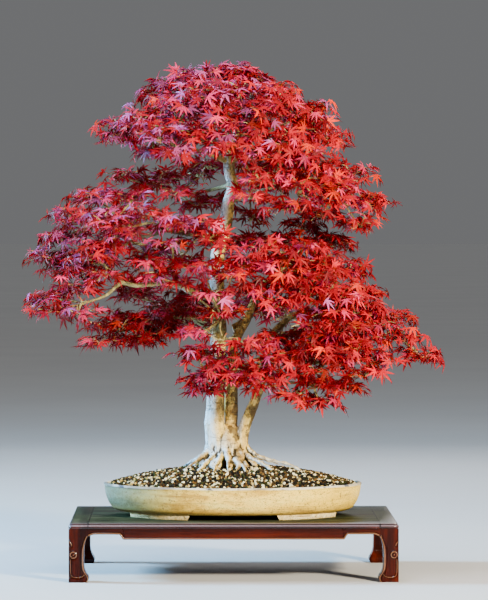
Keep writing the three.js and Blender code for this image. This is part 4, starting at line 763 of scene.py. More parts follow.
def wood_finish(name, tones, along, coat, coat_roughness, worn_top=None):
    """Varnished hardwood whose grain runs along one axis, pale on its beads as wear and as a painted
    highlight, dark in its grooves as painted shade, with a painted reflection on the boards' upturned edges,
    and dull on a worn top.
    """
    wood = Finish(name, Coat_Roughness=coat_roughness, Coat_IOR=1.5, Specular_IOR_Level=0.06)
    stretch = {"X": (0.07, 1, 1), "Y": (1, 0.07, 1), "Z": (1, 1, 0.09)}[along]
    figure = wood.clouds(38, 5.0, 0.6, stretch)
    fibres = wood.clouds(420, 3.0, 0.6, stretch)
    streaks = wood.step(wood.clouds(95, 4.0, 0.65, stretch, 6.0), 0.52, 0.66)
    wear = wood.clouds(16, 4.0, 0.6)
    grain = figure + (fibres - 0.5) * 0.28
    carving = wood.mark("carving", "Fac")
    varnish = wood.mix(streaks * 0.6, wood.ramp(grain, *zip((0.30, 0.50, 0.70), tones)), tones[0])
    # Pale on raised beads, partly wear and partly a painted highlight.
    beads = wood.mix(wood.step(carving, 0.5, 0.95) * 0.35, varnish, (0.36, 0.17, 0.07))
    # Painted shade: near black where the carving mark is sunk, in grooves and recesses.
    colour = wood.mix(wood.step(carving * -1.0, 0.2, 0.8) * 0.85, beads, (0.004, 0.001, 0.0005))
    rough = 0.30 + (wear - 0.5) * 0.22 + (fibres - 0.5) * 0.12
    facing = wood.node("SeparateXYZ", None, {0: wood.node("NewGeometry", output="Normal")}, "Z")
    gloss = (wear * 0.8 + 0.6) * coat + (wood.step(carving, 0.3, 0.9) + wood.step(facing, 0.25, 0.6)) * 0.7
    if worn_top:
        across = wood.node("SeparateXYZ", None, {0: wood.place()}, "X")
        seam = 1 - wood.step((across.math("ABSOLUTE") - JOINT_X * MM).math("ABSOLUTE"), 0.0006, 0.0018)
        top = wood.step(facing, 0.93, 0.99)
        dulled = wood.ramp(grain + (wear - 0.5) * 0.6, *zip((0.28, 0.50, 0.74), worn_top))
        patches = wood.step(wood.clouds(24, 5.0, 0.65, stretch, 2.0), 0.54, 0.66)
        rubbed = wood.mix(patches * 0.6, dulled, tones[1])
        # Painted reflection: lavender-grey on the boards' upturned rounded edges, for the overhead light.
        rounded = wood.mix(wood.step(facing, 0.15, 0.45) * 0.5, colour, (0.24, 0.18, 0.22))
        colour = wood.mix(seam * 0.9, wood.mix(top, rounded, rubbed), (0.004, 0.003, 0.002))
        rough = rough + top * 0.3
        gloss = gloss * (1 - top)
    wood.varies(Base_Color=colour, Roughness=rough, Coat_Weight=gloss.clamped())
    wood.relief(fibres * 0.5 - streaks * 0.3, 0.0005)
    return wood.material


def screen_finish():
    plastic = Finish("screen_plastic", Specular_IOR_Level=0.4)
    tone = plastic.clouds(220, 3.0)
    plastic.varies(
        Base_Color=plastic.ramp(tone, (0.3, (0.012, 0.014, 0.012)), (0.7, (0.03, 0.032, 0.028))),
        Roughness=0.45 + tone * 0.25,
    )
    plastic.relief(tone, 0.0002)
    return plastic.material


def floor_finish():
    floor = Finish("pale_floor", Roughness=0.75)
    tone = floor.clouds(1.2, 3.0)
    floor.varies(Base_Color=floor.ramp(tone, (0.3, (0.58, 0.58, 0.58)), (0.7, (0.62, 0.62, 0.615))))
    return floor.material


# The living wood: how the surface roots are drawn from their rows, the branchlets that carry the sprays, and
# the number of small roots.
ROOT_LIFT, ROOT_SLIMNESS = 4, 0.60
BRANCHLET_ARCH, BRANCHLET_RADII = 2.5, (3.2, 2.9, 2.4)
FRONT_ROOTS, BACK_ROOTS = 18, 7


def nearest_on(rows, place):
    """The point of a centre line nearest to a place."""
    starts, ends = rows[:-1, :3], rows[1:, :3]
    spans = ends - starts
    share = np.clip(((place - starts) * spans).sum(1) / np.maximum((spans ** 2).sum(1), 1e-9), 0, 1)
    found = starts + share[:, None] * spans
    return found[np.argmin(np.linalg.norm(found - place, axis=1))]


def limb_lines():
    """Centre lines of everything woody up to the hubs of the sprays, as rows of [x, y, z, radius]."""
    lines = {name: curve_through(rows, 10) for name, rows in {**STEMS, **BOUGHS}.items()}
    slimmer = [[[x, y, z + ROOT_LIFT, radius * ROOT_SLIMNESS] for x, y, z, radius in root] for root in ROOTS]
    for number, rows in enumerate(slimmer + fine_roots()):
        lines[f"root_{number}"] = curve_through(rows, 8)
    for name, (bough, hub, _) in SPRAYS.items():
        start = nearest_on(lines[bough], hub)
        middle = (start + hub) / 2 + np.array([0, 0, BRANCHLET_ARCH])
        spine = zip((start, middle, hub), BRANCHLET_RADII)
        lines["branchlet_" + name] = curve_through([[*spot, radius] for spot, radius in spine], 6)
    return lines


def wood_relief(point, girth):
    """How far a point of the bark is pushed out: lumps on thick wood, and folds where the roots spread."""
    x, y, z = point
    lumps = noise.fractal(Vector((x, y, z * 0.6)) * 0.045, 0.9, 2.1, 3)
    fine = noise.fractal(Vector((x, y, z * 0.5)) * 0.16, 0.9, 2.1, 3)
    thick = min(1.0, max(0.0, (girth - 3.0) / 8.0))
    foot = min(1.0, max(0.0, (275 - z) / 40))
    around = math.atan2(y - 2, x + 10)
    folds = noise.noise(Vector((math.cos(around) * 3.4, math.sin(around) * 3.4, z * 0.015)))
    seams = noise.noise(Vector((x * 0.11, y * 0.11, z * 0.035)))
    return thick * (0.9 * lumps + 0.4 * fine) + foot * (3.0 * folds + 2.2 * seams + 1.1 * fine) + 0.12 * fine


# The foot's inner core as [x, y, z, half width, half depth], slim low down so that dark shows between roots.
FOOT_CORE = [
    [-6, 0, 150, 20, 14], [-7, 0, 190, 24, 17], [-8, 0, 206, 27, 19], [-10, 1, 217, 33, 23],
    [-12, 1, 228, 40, 28], [-12, 2, 238, 38, 26], [-13, 3, 250, 35, 23], [-12, 4, 260, 31, 18],
    [-8, 5, 268, 24, 13], [-4, 7, 273, 10, 7],
]
# The wood between the second and third stems.
FORK_CORE = [[10, 0, 222, 22, 15], [9, 0, 250, 16, 12], [8, 0, 262, 12, 9], [8, 0, 269, 6, 5]]
CORE_SIDES = 28
# The size in metres of the grains that all wood is grown together from, and the share of its faces kept.
SKIN_GRAIN = 0.0019
FACES_KEPT = 0.36

# How much of each stem is stained tan and brown, and the share of all other wood; the second stem's high
# share is partly painted shade, as it stands behind the main stem.
STAIN_SHARES = {"main": 0.33, "second": 0.84, "third": 0.66}
USUAL_STAIN, EVEN_STAIN, PAINTED_CLEARING_LIGHT = 0.30, 0.32, 0.60
# Heights where the bark changes: even at the foot, a dark band, painted golden light in the clearings,
# browner at the top.
EVEN_FOOT_Z = (256, 318)
BAND_Z, BAND_HALF = 299, 6
PAINTED_LIGHT_FROM_Z, PAINTED_LIGHT_TO_Z = (425, 445), (505, 485)
BROWN_TOP_Z = (736, 752)
# The ring that the roots stand on, as its half width by height, and how thick wood is below its top.
ROOT_RING_Z, ROOT_RING_HALF = (200, 215, 229), (53, 43.5, 35.5)
SPREAD_Z, SPREAD_GIRTH = 262, 9


def one_skin(lines, finish):
    """All limbs, the cores and the scars, grown together into one closed skin."""
    wood = Shape()
    for name, rows in lines.items():
        tube(wood, rows, 14 if name in STEMS else 10)
    turns = turns_round(CORE_SIDES)
    for core in (FOOT_CORE, FORK_CORE):
        loft(wood, [np.stack([x + wide * np.cos(turns), y + deep * np.sin(turns), np.full(CORE_SIDES, z)], 1)
                    for x, y, z, wide, deep in curve_through(core, 5)])
    for scar in SCARS:
        tube(wood, scar, 8)
    piece = wood.build("tree_wood", finish, 80)
    remesh = piece.modifiers.new("one_skin", "REMESH")
    remesh.mode = "VOXEL"
    remesh.voxel_size = SKIN_GRAIN
    return applied(piece)


def nearest_limbs(lines, points):
    """The girth and the stain of the limb nearest to each point."""
    samples = np.concatenate(list(lines.values()))
    shares = [[STAIN_SHARES.get(name, USUAL_STAIN)] * len(rows) for name, rows in lines.items()]
    tree = kdtree.KDTree(len(samples))
    for number, sample in enumerate(samples):
        tree.insert(sample[:3], number)
    tree.balance()
    nearest = [tree.find(point)[1] for point in points]
    return samples[nearest, 3], np.concatenate(shares)[nearest]


def bark_stain(heights, stains):
    """How brown the bark is at each height, from how much its limb is stained, and drawn towards gold in the
    clearings as painted light.
    """
    stains = stains + 0.12 * steps_between(*BROWN_TOP_Z, heights)
    stains = EVEN_STAIN + (stains - EVEN_STAIN) * (0.45 + 0.55 * steps_between(*EVEN_FOOT_Z, heights))
    stains = stains + 0.35 * np.exp(-((heights - BAND_Z) / BAND_HALF) ** 2) * (stains > 0.4)
    # Painted light: in the clearings the bark is drawn towards gold.
    shown = steps_between(*PAINTED_LIGHT_FROM_Z, heights) * steps_between(*PAINTED_LIGHT_TO_Z, heights)
    return stains + (PAINTED_CLEARING_LIGHT - stains) * shown


def painted_shade_between_roots(points, valleys):
    """Where shade is painted dark: inside the ring that the roots stand on, and in the valleys between them.
    """
    x, y, z = points.T
    ring = np.interp(z, ROOT_RING_Z, ROOT_RING_HALF)
    inside = steps_between(1.06, 0.84, np.hypot(x + 10, (y - 1) / 0.74) / ring)
    valley = steps_between(0.1, 1.3, valleys) * steps_between(240, 226, z)
    return inside * steps_between(232, 222, z) + valley


def tree_piece(lines, finish):
    piece = one_skin(lines, finish)
    mesh = piece.data
    points, normals = np.empty((2, len(mesh.vertices) * 3))
    mesh.vertices.foreach_get("co", points)
    mesh.vertices.foreach_get("normal", normals)
    points, normals = millimetres(points.reshape(-1, 3)), normals.reshape(-1, 3)
    heights = points[:, 2]
    girths, shares = nearest_limbs(lines, points)
    girths = np.where(heights < SPREAD_Z, np.maximum(girths, SPREAD_GIRTH), girths)
    push = np.array([wood_relief(point, girth) for point, girth in zip(points, girths)])
    skin = points + normals * push[:, None]
    mesh.vertices.foreach_set("co", metres(skin).ravel())
    sunk, valleys = (((softened(mesh, skin, rounds) - skin) * normals).sum(1) for rounds in (7, 26))
    set_mark(mesh, "girth", girths)
    # Painted light: besides the stains, the mark rises on right-facing bark, which is painted golden for the
    # warm light, and falls on left-facing bark, which is painted bluish white for the light from the left.
    set_mark(mesh, "stain_and_painted_light", softened(mesh, bark_stain(heights, shares), 30) + 0.34 * normals[:, 0] + 0.10)
    # Painted shade, from how far the skin sinks and from the ring and valleys between the roots.
    set_mark(mesh, "hollow", np.clip(sunk / 1.2 + painted_shade_between_roots(points, valleys), 0, 1))
    fewer = piece.modifiers.new("fewer_faces", "DECIMATE")
    fewer.ratio = FACES_KEPT
    applied(piece)
    piece.data.shade_smooth()
    piece.data.update()
    settle(piece, "bark", "tree")


def softened(mesh, values, rounds):
    """Values on a mesh's points, each drawn towards the mean of its neighbours' once a round."""
    ends = np.empty(len(mesh.edges) * 2, int)
    mesh.edges.foreach_get("vertices", ends)
    first, second = ends.reshape(-1, 2).T
    count = len(mesh.vertices)
    links = np.maximum(np.bincount(first, minlength=count) + np.bincount(second, minlength=count), 1)
    columns = []
    for column in np.atleast_2d(values.T):
        for _ in range(rounds):
            total = np.bincount(first, column[second], count) + np.bincount(second, column[first], count)
            column = (column + total / links) / 2
        columns.append(column)
    return np.stack(columns, 1).reshape(values.shape)


def ring_scar(centre, facing, radius, thick):
    """A raised ring of healed bark round an old branch cut."""
    facing = unit(np.asarray(facing, float))
    side = unit(np.cross(facing, [0, 0, 1]))
    up = np.cross(side, facing)
    turns = np.linspace(0, 2 * math.pi, 22)
    points = np.asarray(centre) + radius * (np.cos(turns)[:, None] * side + np.sin(turns)[:, None] * up)
    return np.concatenate([points, np.full((len(points), 1), thick)], axis=1)


def fine_roots():
    """Small roots that run down the foot of the stems between the large ones and into the soil."""
    draw = np.random.default_rng(12)
    roots = []
    for number in range(FRONT_ROOTS + BACK_ROOTS):
        if number < FRONT_ROOTS:
            degrees = -200 + 220 * number / FRONT_ROOTS
        else:
            degrees = 30 + 130 * (number - FRONT_ROOTS) / BACK_ROOTS
        turn = math.radians(degrees) + draw.normal(0, 0.09)
        cos, sin = math.cos(turn), math.sin(turn)
        top, reach, radius = draw.uniform(213, 225), draw.uniform(56, 76), draw.uniform(3.2, 5.2)
        bend = draw.normal(0, 7, 2)
        knee, swelling = draw.uniform(-3, 3), draw.uniform(0.9, 1.3)
        foot = mound_height(reach / SOIL_HALF) - 8
        roots.append([
            [-10 + 34 * cos, 1 + 24 * sin, top + 4, radius * 1.3],
            [-10 + 41 * cos, 1 + 31 * sin, top - 5, radius * 1.15],
            [-9 + 48 * cos + bend[0], 0.76 * 50 * sin + bend[1], 202 + knee, radius * swelling],
            [-8 + reach * cos - bend[0], 0.78 * reach * sin + bend[1], foot, radius * 0.7],
        ])
    return roots


# Healed cuts: rings where branches were cut off, and the stubs of two more.
SCARS = [
    ring_scar((29, -13.5, 283), (0.1, -1, 0), 5.4, 2.0),
    ring_scar((-9, 0, 773), (-0.2, -0.3, 1), 6.5, 2.4),
    ring_scar((-30, -15.5, 405), (0, -1, 0.1), 4.0, 1.6),
    [[0, 34, 452, 9], [12, 36, 458, 9], [22, 38, 466, 8.4]],
    [[-104, -54, 536, 7], [-110, -55, 543, 7.6], [-114, -56, 541, 6]],
]


# Leaves
# Lobes as [degrees from the middle lobe, share of its length]; a lobe's edge as [share along, half width],
# and the shares along it of its rib's points. The base is the blade's edge on both sides of the stalk.
FIVE_LOBES = ((-90, 0.60), (-45, 0.90), (0, 1.0), (45, 0.90), (90, 0.60))
SEVEN_LOBES = ((-116, 0.42), (-78, 0.72), (-39, 0.93), (0, 1.0), (39, 0.93), (78, 0.72), (116, 0.42))
FINE_EDGE, FINE_RIB = ((0.44, 0.096), (0.72, 0.056)), (0.46, 0.76)
PLAIN_EDGE, PLAIN_RIB = ((0.46, 0.098),), (0.48,)
NOTCH_SHARE = 0.23
BASE_DEGREES = 152
BASE_SHARE = 0.10


class LeafKind:
    """One kind of leaf: how its points are numbered, and the triangles of two sides that share a rim."""

    def __init__(self, lobes, edge, rib):
        self.degrees, self.shares = np.array(lobes).T
        self.edge, self.rib = edge, rib
        self.count, self.steps = len(lobes), len(edge)
        self.lobe = 2 * self.steps + 1
        self.notches = self.count * self.lobe
        self.base = self.notches + self.count - 1
        self.top = self.base + 2
        self.side = 1 + self.steps * self.count
        self.total = self.top + 2 * self.side
        self.faces = self.triangles()
        self.vein = np.concatenate([np.zeros(self.top), np.ones(2 * self.side)])
        self.vein[self.steps:self.notches:self.lobe] = 0.9

    def triangles(self):
        faces = []
        for lobe in range(self.count):
            rim = list(range(lobe * self.lobe, (lobe + 1) * self.lobe))
            before = self.notches + lobe - 1 if lobe else self.base
            after = self.notches + lobe if lobe < self.count - 1 else self.base + 1
            edges = ([before] + rim[:self.steps], [after] + rim[:self.steps:-1])
            for palm, flip in ((self.top, False), (self.top + self.side, True)):
                ribs = [palm] + [palm + 1 + lobe * self.steps + step for step in range(self.steps)]
                for edge, turned in zip(edges, (flip, not flip)):
                    strip = [(edge[-1], rim[self.steps], ribs[-1])]
                    for step in range(self.steps):
                        here, beyond = ribs[step:step + 2]
                        strip += [(here, edge[step], beyond), (edge[step], edge[step + 1], beyond)]
                    faces += [face[::-1] if turned else face for face in strip]
        palms = (self.top, self.top + self.side)
        return np.array(faces + [(palms[0], self.base + 1, self.base), (palms[1], self.base, self.base + 1)])


LEAF_KINDS = [
    LeafKind(lobes, edge, rib)
    for edge, rib in ((FINE_EDGE, FINE_RIB), (PLAIN_EDGE, PLAIN_RIB))
    for lobes in (FIVE_LOBES, SEVEN_LOBES)
]
SEVEN_LOBED_SHARE = 0.22


def blade_points(kind, count, sizes, draw):
    """Points of each leaf's blade: forward along the middle lobe, to its left, and up from its face."""
    lobes = kind.count
    turns = np.radians(kind.degrees + draw.normal(0, 4.5, (count, lobes)))
    shares = kind.shares * draw.normal(1, 0.06, (count, lobes))
    sag = draw.uniform(0.02, 0.30, (count, 1)) + draw.normal(0, 0.09, (count, lobes))
    fold = draw.uniform(0.25, 0.90, (count, 1)) + draw.normal(0, 0.10, (count, lobes))
    hook = draw.normal(0, 0.09, (count, lobes))
    points = np.zeros((count, kind.total, 3))

    def spot(lobe, share, width):
        length = shares[:, lobe]
        sideways = (width + hook[:, lobe] * share ** 2) * length
        turn = turns[:, lobe]
        forward = share * length
        height = length * (-sag[:, lobe] * share ** 2 + fold[:, lobe] * abs(width))
        return np.stack([
            forward * np.cos(turn) - sideways * np.sin(turn),
            forward * np.sin(turn) + sideways * np.cos(turn),
            height,
        ], 1)

    for lobe in range(lobes):
        rim = lobe * kind.lobe
        for step, (share, width) in enumerate(kind.edge):
            points[:, rim + step] = spot(lobe, share, -width)
            points[:, rim + kind.lobe - 1 - step] = spot(lobe, share, width)
        points[:, rim + kind.steps] = spot(lobe, 1.0, 0.0)
        for step, share in enumerate(kind.rib):
            points[:, kind.top + 1 + lobe * kind.steps + step] = spot(lobe, share, 0.0)
    for notch in range(lobes - 1):
        turn = (turns[:, notch] + turns[:, notch + 1]) / 2
        reach = NOTCH_SHARE * (shares[:, notch] + shares[:, notch + 1]) / 2
        height = reach * 0.6 * (fold[:, notch] * 0.35 - sag[:, notch] * 0.3)
        points[:, kind.notches + notch] = np.stack([reach * np.cos(turn), reach * np.sin(turn), height], 1)
    for slot, sign in ((kind.base, -1), (kind.base + 1, 1)):
        turn = math.radians(BASE_DEGREES) * sign
        points[:, slot] = [BASE_SHARE * math.cos(turn), BASE_SHARE * math.sin(turn), 0]
    points *= np.asarray(sizes)[:, None, None]
    upper = points[:, kind.top:kind.top + kind.side].copy()
    thick = BLADE_HALF_THICKNESS * np.array([1.3] + [1.0, 0.5][:kind.steps] * lobes)
    points[:, kind.top:kind.top + kind.side, 2] = upper[:, :, 2] + thick
    points[:, kind.top + kind.side:] = upper
    points[:, kind.top + kind.side:, 2] -= thick
    return points


def stalk_tubes(shape, starts, ends, radius, tint):
    """Leaf stalks from the twigs to the blades, all built at once as three-sided bars."""
    count, corners = len(starts), 6
    rings = np.stack([starts, ends], 1)
    along = unit(ends - starts)
    side = unit(np.cross(along, [0.12, 0.07, 1.0]))
    up = np.cross(along, side)
    turns = turns_round(3)
    around = np.cos(turns)[:, None] * side[:, None] + np.sin(turns)[:, None] * up[:, None]
    points = rings[:, :, None] + radius * around[:, None]
    first = np.arange(count)[:, None, None] * corners
    quads = (first + grid_faces(2, 3)).reshape(-1, 4)
    caps = (first + np.array([[2, 1, 0], [3, 4, 5]])).reshape(-1, 3)
    shape.add(points, quads, caps, tint=np.repeat(tint, corners, axis=0), rib=0.0)


# The colours of leaves and of their stalks. Deep crimson is mostly painted shade; rose and purple are mostly
# a painted sheen of bluish light on up-facing leaves.
DEEP_PAINTED_SHADE, CRIMSON, SCARLET = (0.17, 0.0006, 0.001), (0.34, 0.001, 0.010), (0.56, 0.003, 0.018)
ORANGE, ROSE_PARTLY_PAINTED_SHEEN, PURPLE_PAINTED_SHEEN = (0.74, 0.032, 0.001), (0.74, 0.030, 0.14), (0.56, 0.12, 0.38)
STALK_TINTS = ((0.55, 0.06, 0.03), (0.70, 0.22, 0.04), (0.40, 0.02, 0.02))
STALK_LENGTHS, STALK_RADIUS = (7, 17), 0.5


def leaf_tints(places, normals, height_share, shaded, draw):
    """Each leaf's colour: deep crimson as painted shade inside, behind and low in the tufts, in shaded
    sprays and under the left mass, and on a few leaves anywhere; rose and purple as a painted sheen on
    up-facing leaves high on the left; scarlet to orange towards the right, partly the leaves' own colour and
    partly painted warm light.
    """
    x, y, z = places.T
    facing_up = np.clip(normals[:, 2], 0, 1)
    # Painted light: the left and high part of the crown, where bluish light is painted as a rose and purple
    # sheen on up-facing leaves.
    painted_cool_light = steps_between(150, -220, x) * (0.32 + 0.68 * steps_between(520, 880, z))
    # Painted shade under the left mass.
    low_left_painted_shade = steps_between(-60, -240, x) * steps_between(730, 630, z)
    painted_mauve_sheen = np.minimum(painted_cool_light * (1 + 0.8 * steps_between(740, 840, z)), 1) ** 1.3
    # Weights of deep, crimson, scarlet, orange, rose and purple. Deep is painted shade inside, behind and
    # low in the tufts; scarlet and orange rise towards the right, partly painted warm light; rose and purple
    # are a painted sheen on up-facing leaves.
    weights = np.stack([
        0.16 + 0.8 * shaded + 0.3 * steps_between(40, 120, y) + 0.3 * (height_share < 0.35) + 0.5 * low_left_painted_shade,
        np.full(len(x), 0.75),
        0.30 + 0.40 * steps_between(-150, 250, x),
        0.04 + 0.26 * steps_between(-60, 200, x) * (1 - 0.5 * facing_up),
        0.06 + (0.26 + 0.9 * painted_cool_light) * facing_up * (1 - shaded),
        (0.05 + 1.5 * painted_mauve_sheen) * facing_up * (1 - shaded),
    ], 1)
    pick = (np.cumsum(weights / weights.sum(1, keepdims=True), 1) < draw.random((len(x), 1))).sum(1)
    palette = np.array((DEEP_PAINTED_SHADE, CRIMSON, SCARLET, ORANGE, ROSE_PARTLY_PAINTED_SHEEN, PURPLE_PAINTED_SHEEN))
    first, second = palette[np.minimum(pick, 5)], palette[draw.integers(0, 3, len(x))]
    share = draw.uniform(0, 0.35, (len(x), 1))
    return (first * (1 - share) + second * share) * draw.uniform(0.26, 1.62, (len(x), 1))


GOLDEN_TURN = math.pi * (3 - math.sqrt(5))
UP = np.array([0, 0, 1])


def tuft_twigs(tuft, hub, draw):
    """The twigs of one tuft: its shoot from the hub, and the side twigs that fan out under the leaves."""
    x, y, z, wide, deep, high = tuft
    foot = np.array([x, y, z - high * 0.35])
    bend = (hub + foot) / 2 + np.array([0, 0, 4.0]) + draw.normal(0, 3, 3)
    shoot = curve_through([[*hub, 2.3], [*bend, 2.0], [*foot, 1.5]], 5)
    count = 7 if wide < 50 else 8
    start = draw.random() * 2 * math.pi
    twigs = []
    for number in range(count):
        turn = start + number * GOLDEN_TURN + draw.normal(0, 0.15)
        level = 1.0 - 2.0 * (number + 0.5) / count
        reach = 0.76 * math.sqrt(max(0.12, 1 - level ** 2 * 0.75))
        across = [x + reach * wide * math.cos(turn), y + reach * deep * math.sin(turn)]
        end = np.array([*across, z + level * high * 0.85])
        middle = foot * 0.5 + end * 0.5 + np.array([0, 0, 0.25 * high + 2]) + draw.normal(0, 2.5, 3)
        rows = np.array([[*foot, 1.35], [*middle, 1.1], [*end, 0.7]])
        rows[:, :3] = np.clip(rows[:, :3], LIMIT_LOW + 2, LIMIT_HIGH - 2)
        twigs.append(curve_through(rows, 2))
    return shoot, twigs


def leaf_places(tuft, twigs, draw):
    """Leaves in opposite pairs along a tuft's twigs: where each stalk starts, and its heading."""
    wide, deep = tuft[3:5]
    wanted = wide * deep * LEAVES_PER_AREA
    pairs = max(2, round(wanted / (2 * len(twigs)) + draw.uniform(-0.3, 0.3)))
    starts, headings = [], []
    for rows in twigs:
        shares = np.linspace(0.98, 0.28, pairs) + draw.uniform(-0.05, 0.05, pairs)
        for order, share in enumerate(shares):
            at = share * (len(rows) - 1)
            low = min(int(at), len(rows) - 2)
            spot = rows[low, :3] + (rows[low + 1, :3] - rows[low, :3]) * (at - low)
            along = rows[low + 1, :3] - rows[low, :3]
            away = math.degrees(math.atan2(along[1], along[0]))
            if np.hypot(*along[:2]) < 0.6 * abs(along[2]):
                away = draw.uniform(0, 360)
            spread = draw.uniform(18, 48) if order == 0 else draw.uniform(45, 85)
            for sign in (-1, 1):
                starts.append(spot)
                headings.append(away + sign * spread + draw.normal(0, 12))
    return np.array(starts), np.radians(np.array(headings))


def tipped(first, second, turn):
    """Two directions square to each other, turned within their own plane."""
    return first * np.cos(turn) - second * np.sin(turn), second * np.cos(turn) + first * np.sin(turn)


def leaf_axes(headings, out, tilt, droop, draw):
    """Each leaf's forward, side and up directions: its face leans out, its tip lifts or droops a little."""
    outward = np.concatenate([unit(out + 1e-6), np.zeros((len(out), 1))], axis=1)
    normal = outward * np.sin(tilt)[:, None] + UP * np.cos(tilt)[:, None]
    forward = unit(headings - normal * (headings * normal).sum(1)[:, None])
    droop = np.radians(droop + draw.normal(0, 18, len(out)))[:, None]
    forward, normal = tipped(forward, normal, droop)
    side = np.cross(normal, forward)
    lean = np.radians(draw.normal(0, 17, len(out)))[:, None]
    normal, side = tipped(normal, side, lean)
    return np.stack([forward, side, normal], 1)


def add_leaves(shape, kind, joints, axes, tints, draw):
    """Adds leaves of one kind to a spray, moved in where they would reach past the part's own box."""
    count = len(joints)
    sizes = LOBE_LENGTH * draw.uniform(0.64, 1.06, count)
    blades = joints[:, None] + np.einsum("nvk,nkc->nvc", blade_points(kind, count, sizes, draw), axes)
    past_high = np.maximum(blades.max(1) - (LIMIT_HIGH - EDGE_ROOM), 0)
    past_low = np.minimum(blades.min(1) - (LIMIT_LOW + EDGE_ROOM), 0)
    over = past_high + past_low
    blades -= over[:, None]
    first = np.arange(count)[:, None, None] * kind.total
    faces = (first + kind.faces).reshape(-1, 3)
    shape.add(blades, faces, tint=np.repeat(tints, kind.total, axis=0), rib=np.tile(kind.vein, count))
    return joints - over


# Where the leaves part in front of the stems and show the wood, as [x, z, half width, half height].
CLEARINGS = [[-24, 454, 26, 26], [18, 462, 24, 29], [88, 468, 30, 25]]


def hides_a_stem(places):
    """Whether each place lies in a clearing, in front of the stems."""
    x, y, z = places.T
    inside = [((x - mx) / wide) ** 2 + ((z - mz) / high) ** 2 < 1 for mx, mz, wide, high in CLEARINGS]
    return np.any(inside, 0) & (y < 0)


def hang_leaves(shape, tuft, twigs, shaded, draw):
    """Hangs a tuft's leaves on its twigs, and leaves out those that would hide a stem in a clearing."""
    x, y, z, wide, deep, high = tuft
    starts, turns = leaf_places(tuft, twigs, draw)
    count = len(starts)
    flat = np.stack([np.cos(turns), np.sin(turns), np.zeros(count)], 1)
    from_tuft = (starts - [x, y, z]) / [wide, deep, high]
    out = from_tuft[:, :2] + [0.25, 0.55] * starts[:, :2] / 100
    edge = np.clip(np.linalg.norm(out, axis=1), 0, 1.2)
    stalk = draw.uniform(*STALK_LENGTHS, count)
    rise = np.radians(draw.uniform(5, 45, count)) * (1 - 0.5 * edge)
    joints = starts + stalk[:, None] * (flat * np.cos(rise)[:, None] + UP * np.sin(rise)[:, None])
    tilt = np.radians(6 + 32 * edge + draw.normal(0, 20, count))
    axes = leaf_axes(flat, out, tilt, 8 - 16 * np.clip(from_tuft[:, 2], 0, 1), draw)
    # Painted shade: leaves low in a tuft are more often deep crimson.
    height_share = np.clip((joints[:, 2] - z + high) / (2 * high), 0, 1)
    tints = leaf_tints(joints, axes[:, 2], height_share, shaded, draw)
    plain = draw.random(count) < (1.0 if shaded else 0.95 - 0.35 * np.clip(edge, 0, 1))
    pick = (draw.random(count) < SEVEN_LOBED_SHARE) + 2 * plain
    shown = ~hides_a_stem(joints + axes[:, 0] * LOBE_LENGTH * 0.3)
    for number, kind in enumerate(LEAF_KINDS):
        mine = (pick == number) & shown
        if mine.any():
            joints[mine] = add_leaves(shape, kind, joints[mine], axes[mine], tints[mine], draw)
    stalk_tints = np.array(STALK_TINTS)[draw.integers(0, 3, count)]
    stalk_tubes(shape, starts[shown], joints[shown], STALK_RADIUS, stalk_tints[shown])


# Slots, and the light that shines through, for the three finishes of leaves.
LEAF_SLOTS = {"crimson": "leaf_crimson", "deep": "leaf_deep_crimson", "bright": "leaf_orange_red"}
LEAF_GLOWS = {"crimson": (0.70, 0.004, 0.008), "deep": (0.70, 0.006, 0.004), "bright": (0.86, 0.012, 0.012)}


def leaf_kind(name):
    """Which finish a spray's leaves have, by where it grows."""
    if "shade" in name or "back" in name:
        return "deep"
    return "bright" if "right" in name else "crimson"


def spray_piece(name, hub, tufts, twig_shape, finish, seed):
    draw = np.random.default_rng(seed)
    shape = Shape()
    # Painted shade: sprays named for shade, and less so those at the back, get more deep crimson leaves, all
    # of the plain kind.
    shaded = 1.0 if "shade" in name else 0.6 if "back" in name else 0.0
    for tuft in tufts:
        shoot, twigs = tuft_twigs(tuft, hub, draw)
        tube(twig_shape, shoot, 5)
        for rows in twigs:
            tube(twig_shape, rows, 3)
        hang_leaves(shape, tuft, twigs, shaded, draw)
    settle(shape.build("leaves_" + name, finish), LEAF_SLOTS[leaf_kind(name)], "spray_" + name)


# The soil
# Grains of the mix, as (share, colour): pumice, cream clay, tan clay, brown bark, lava, moss.
GRAIN_KINDS = (
    (0.15, (1.0, 0.88, 0.54)), (0.08, (0.50, 0.34, 0.10)), (0.13, (0.14, 0.065, 0.012)),
    (0.15, (0.045, 0.022, 0.005)), (0.36, (0.004, 0.003, 0.002)), (0.13, (0.028, 0.034, 0.007)),
)
BED_TINT = (0.012, 0.008, 0.005)
BED_SINK = 2.2
# The oval under the stems that has no grains, as [x, half length, half width].
UNDER_TREE = (-7, 45, 33.3)


def mound_height(share):
    """The mound's height at a share of the way out from its middle to the wall."""
    return SOIL_EDGE_Z + SOIL_RISE * np.maximum(0, 1 - share ** 2) ** 0.9


def icosahedron():
    golden = (1 + math.sqrt(5)) / 2
    points = [
        (-1, golden, 0), (1, golden, 0), (-1, -golden, 0), (1, -golden, 0),
        (0, -1, golden), (0, 1, golden), (0, -1, -golden), (0, 1, -golden),
        (golden, 0, -1), (golden, 0, 1), (-golden, 0, -1), (-golden, 0, 1),
    ]
    faces = [
        (0, 11, 5), (0, 5, 1), (0, 1, 7), (0, 7, 10), (0, 10, 11),
        (1, 5, 9), (5, 11, 4), (11, 10, 2), (10, 7, 6), (7, 1, 8),
        (3, 9, 4), (3, 4, 2), (3, 2, 6), (3, 6, 8), (3, 8, 9),
        (4, 9, 5), (2, 4, 11), (6, 2, 10), (8, 6, 7), (9, 8, 1),
    ]
    return unit(np.array(points, float)), np.array(faces)


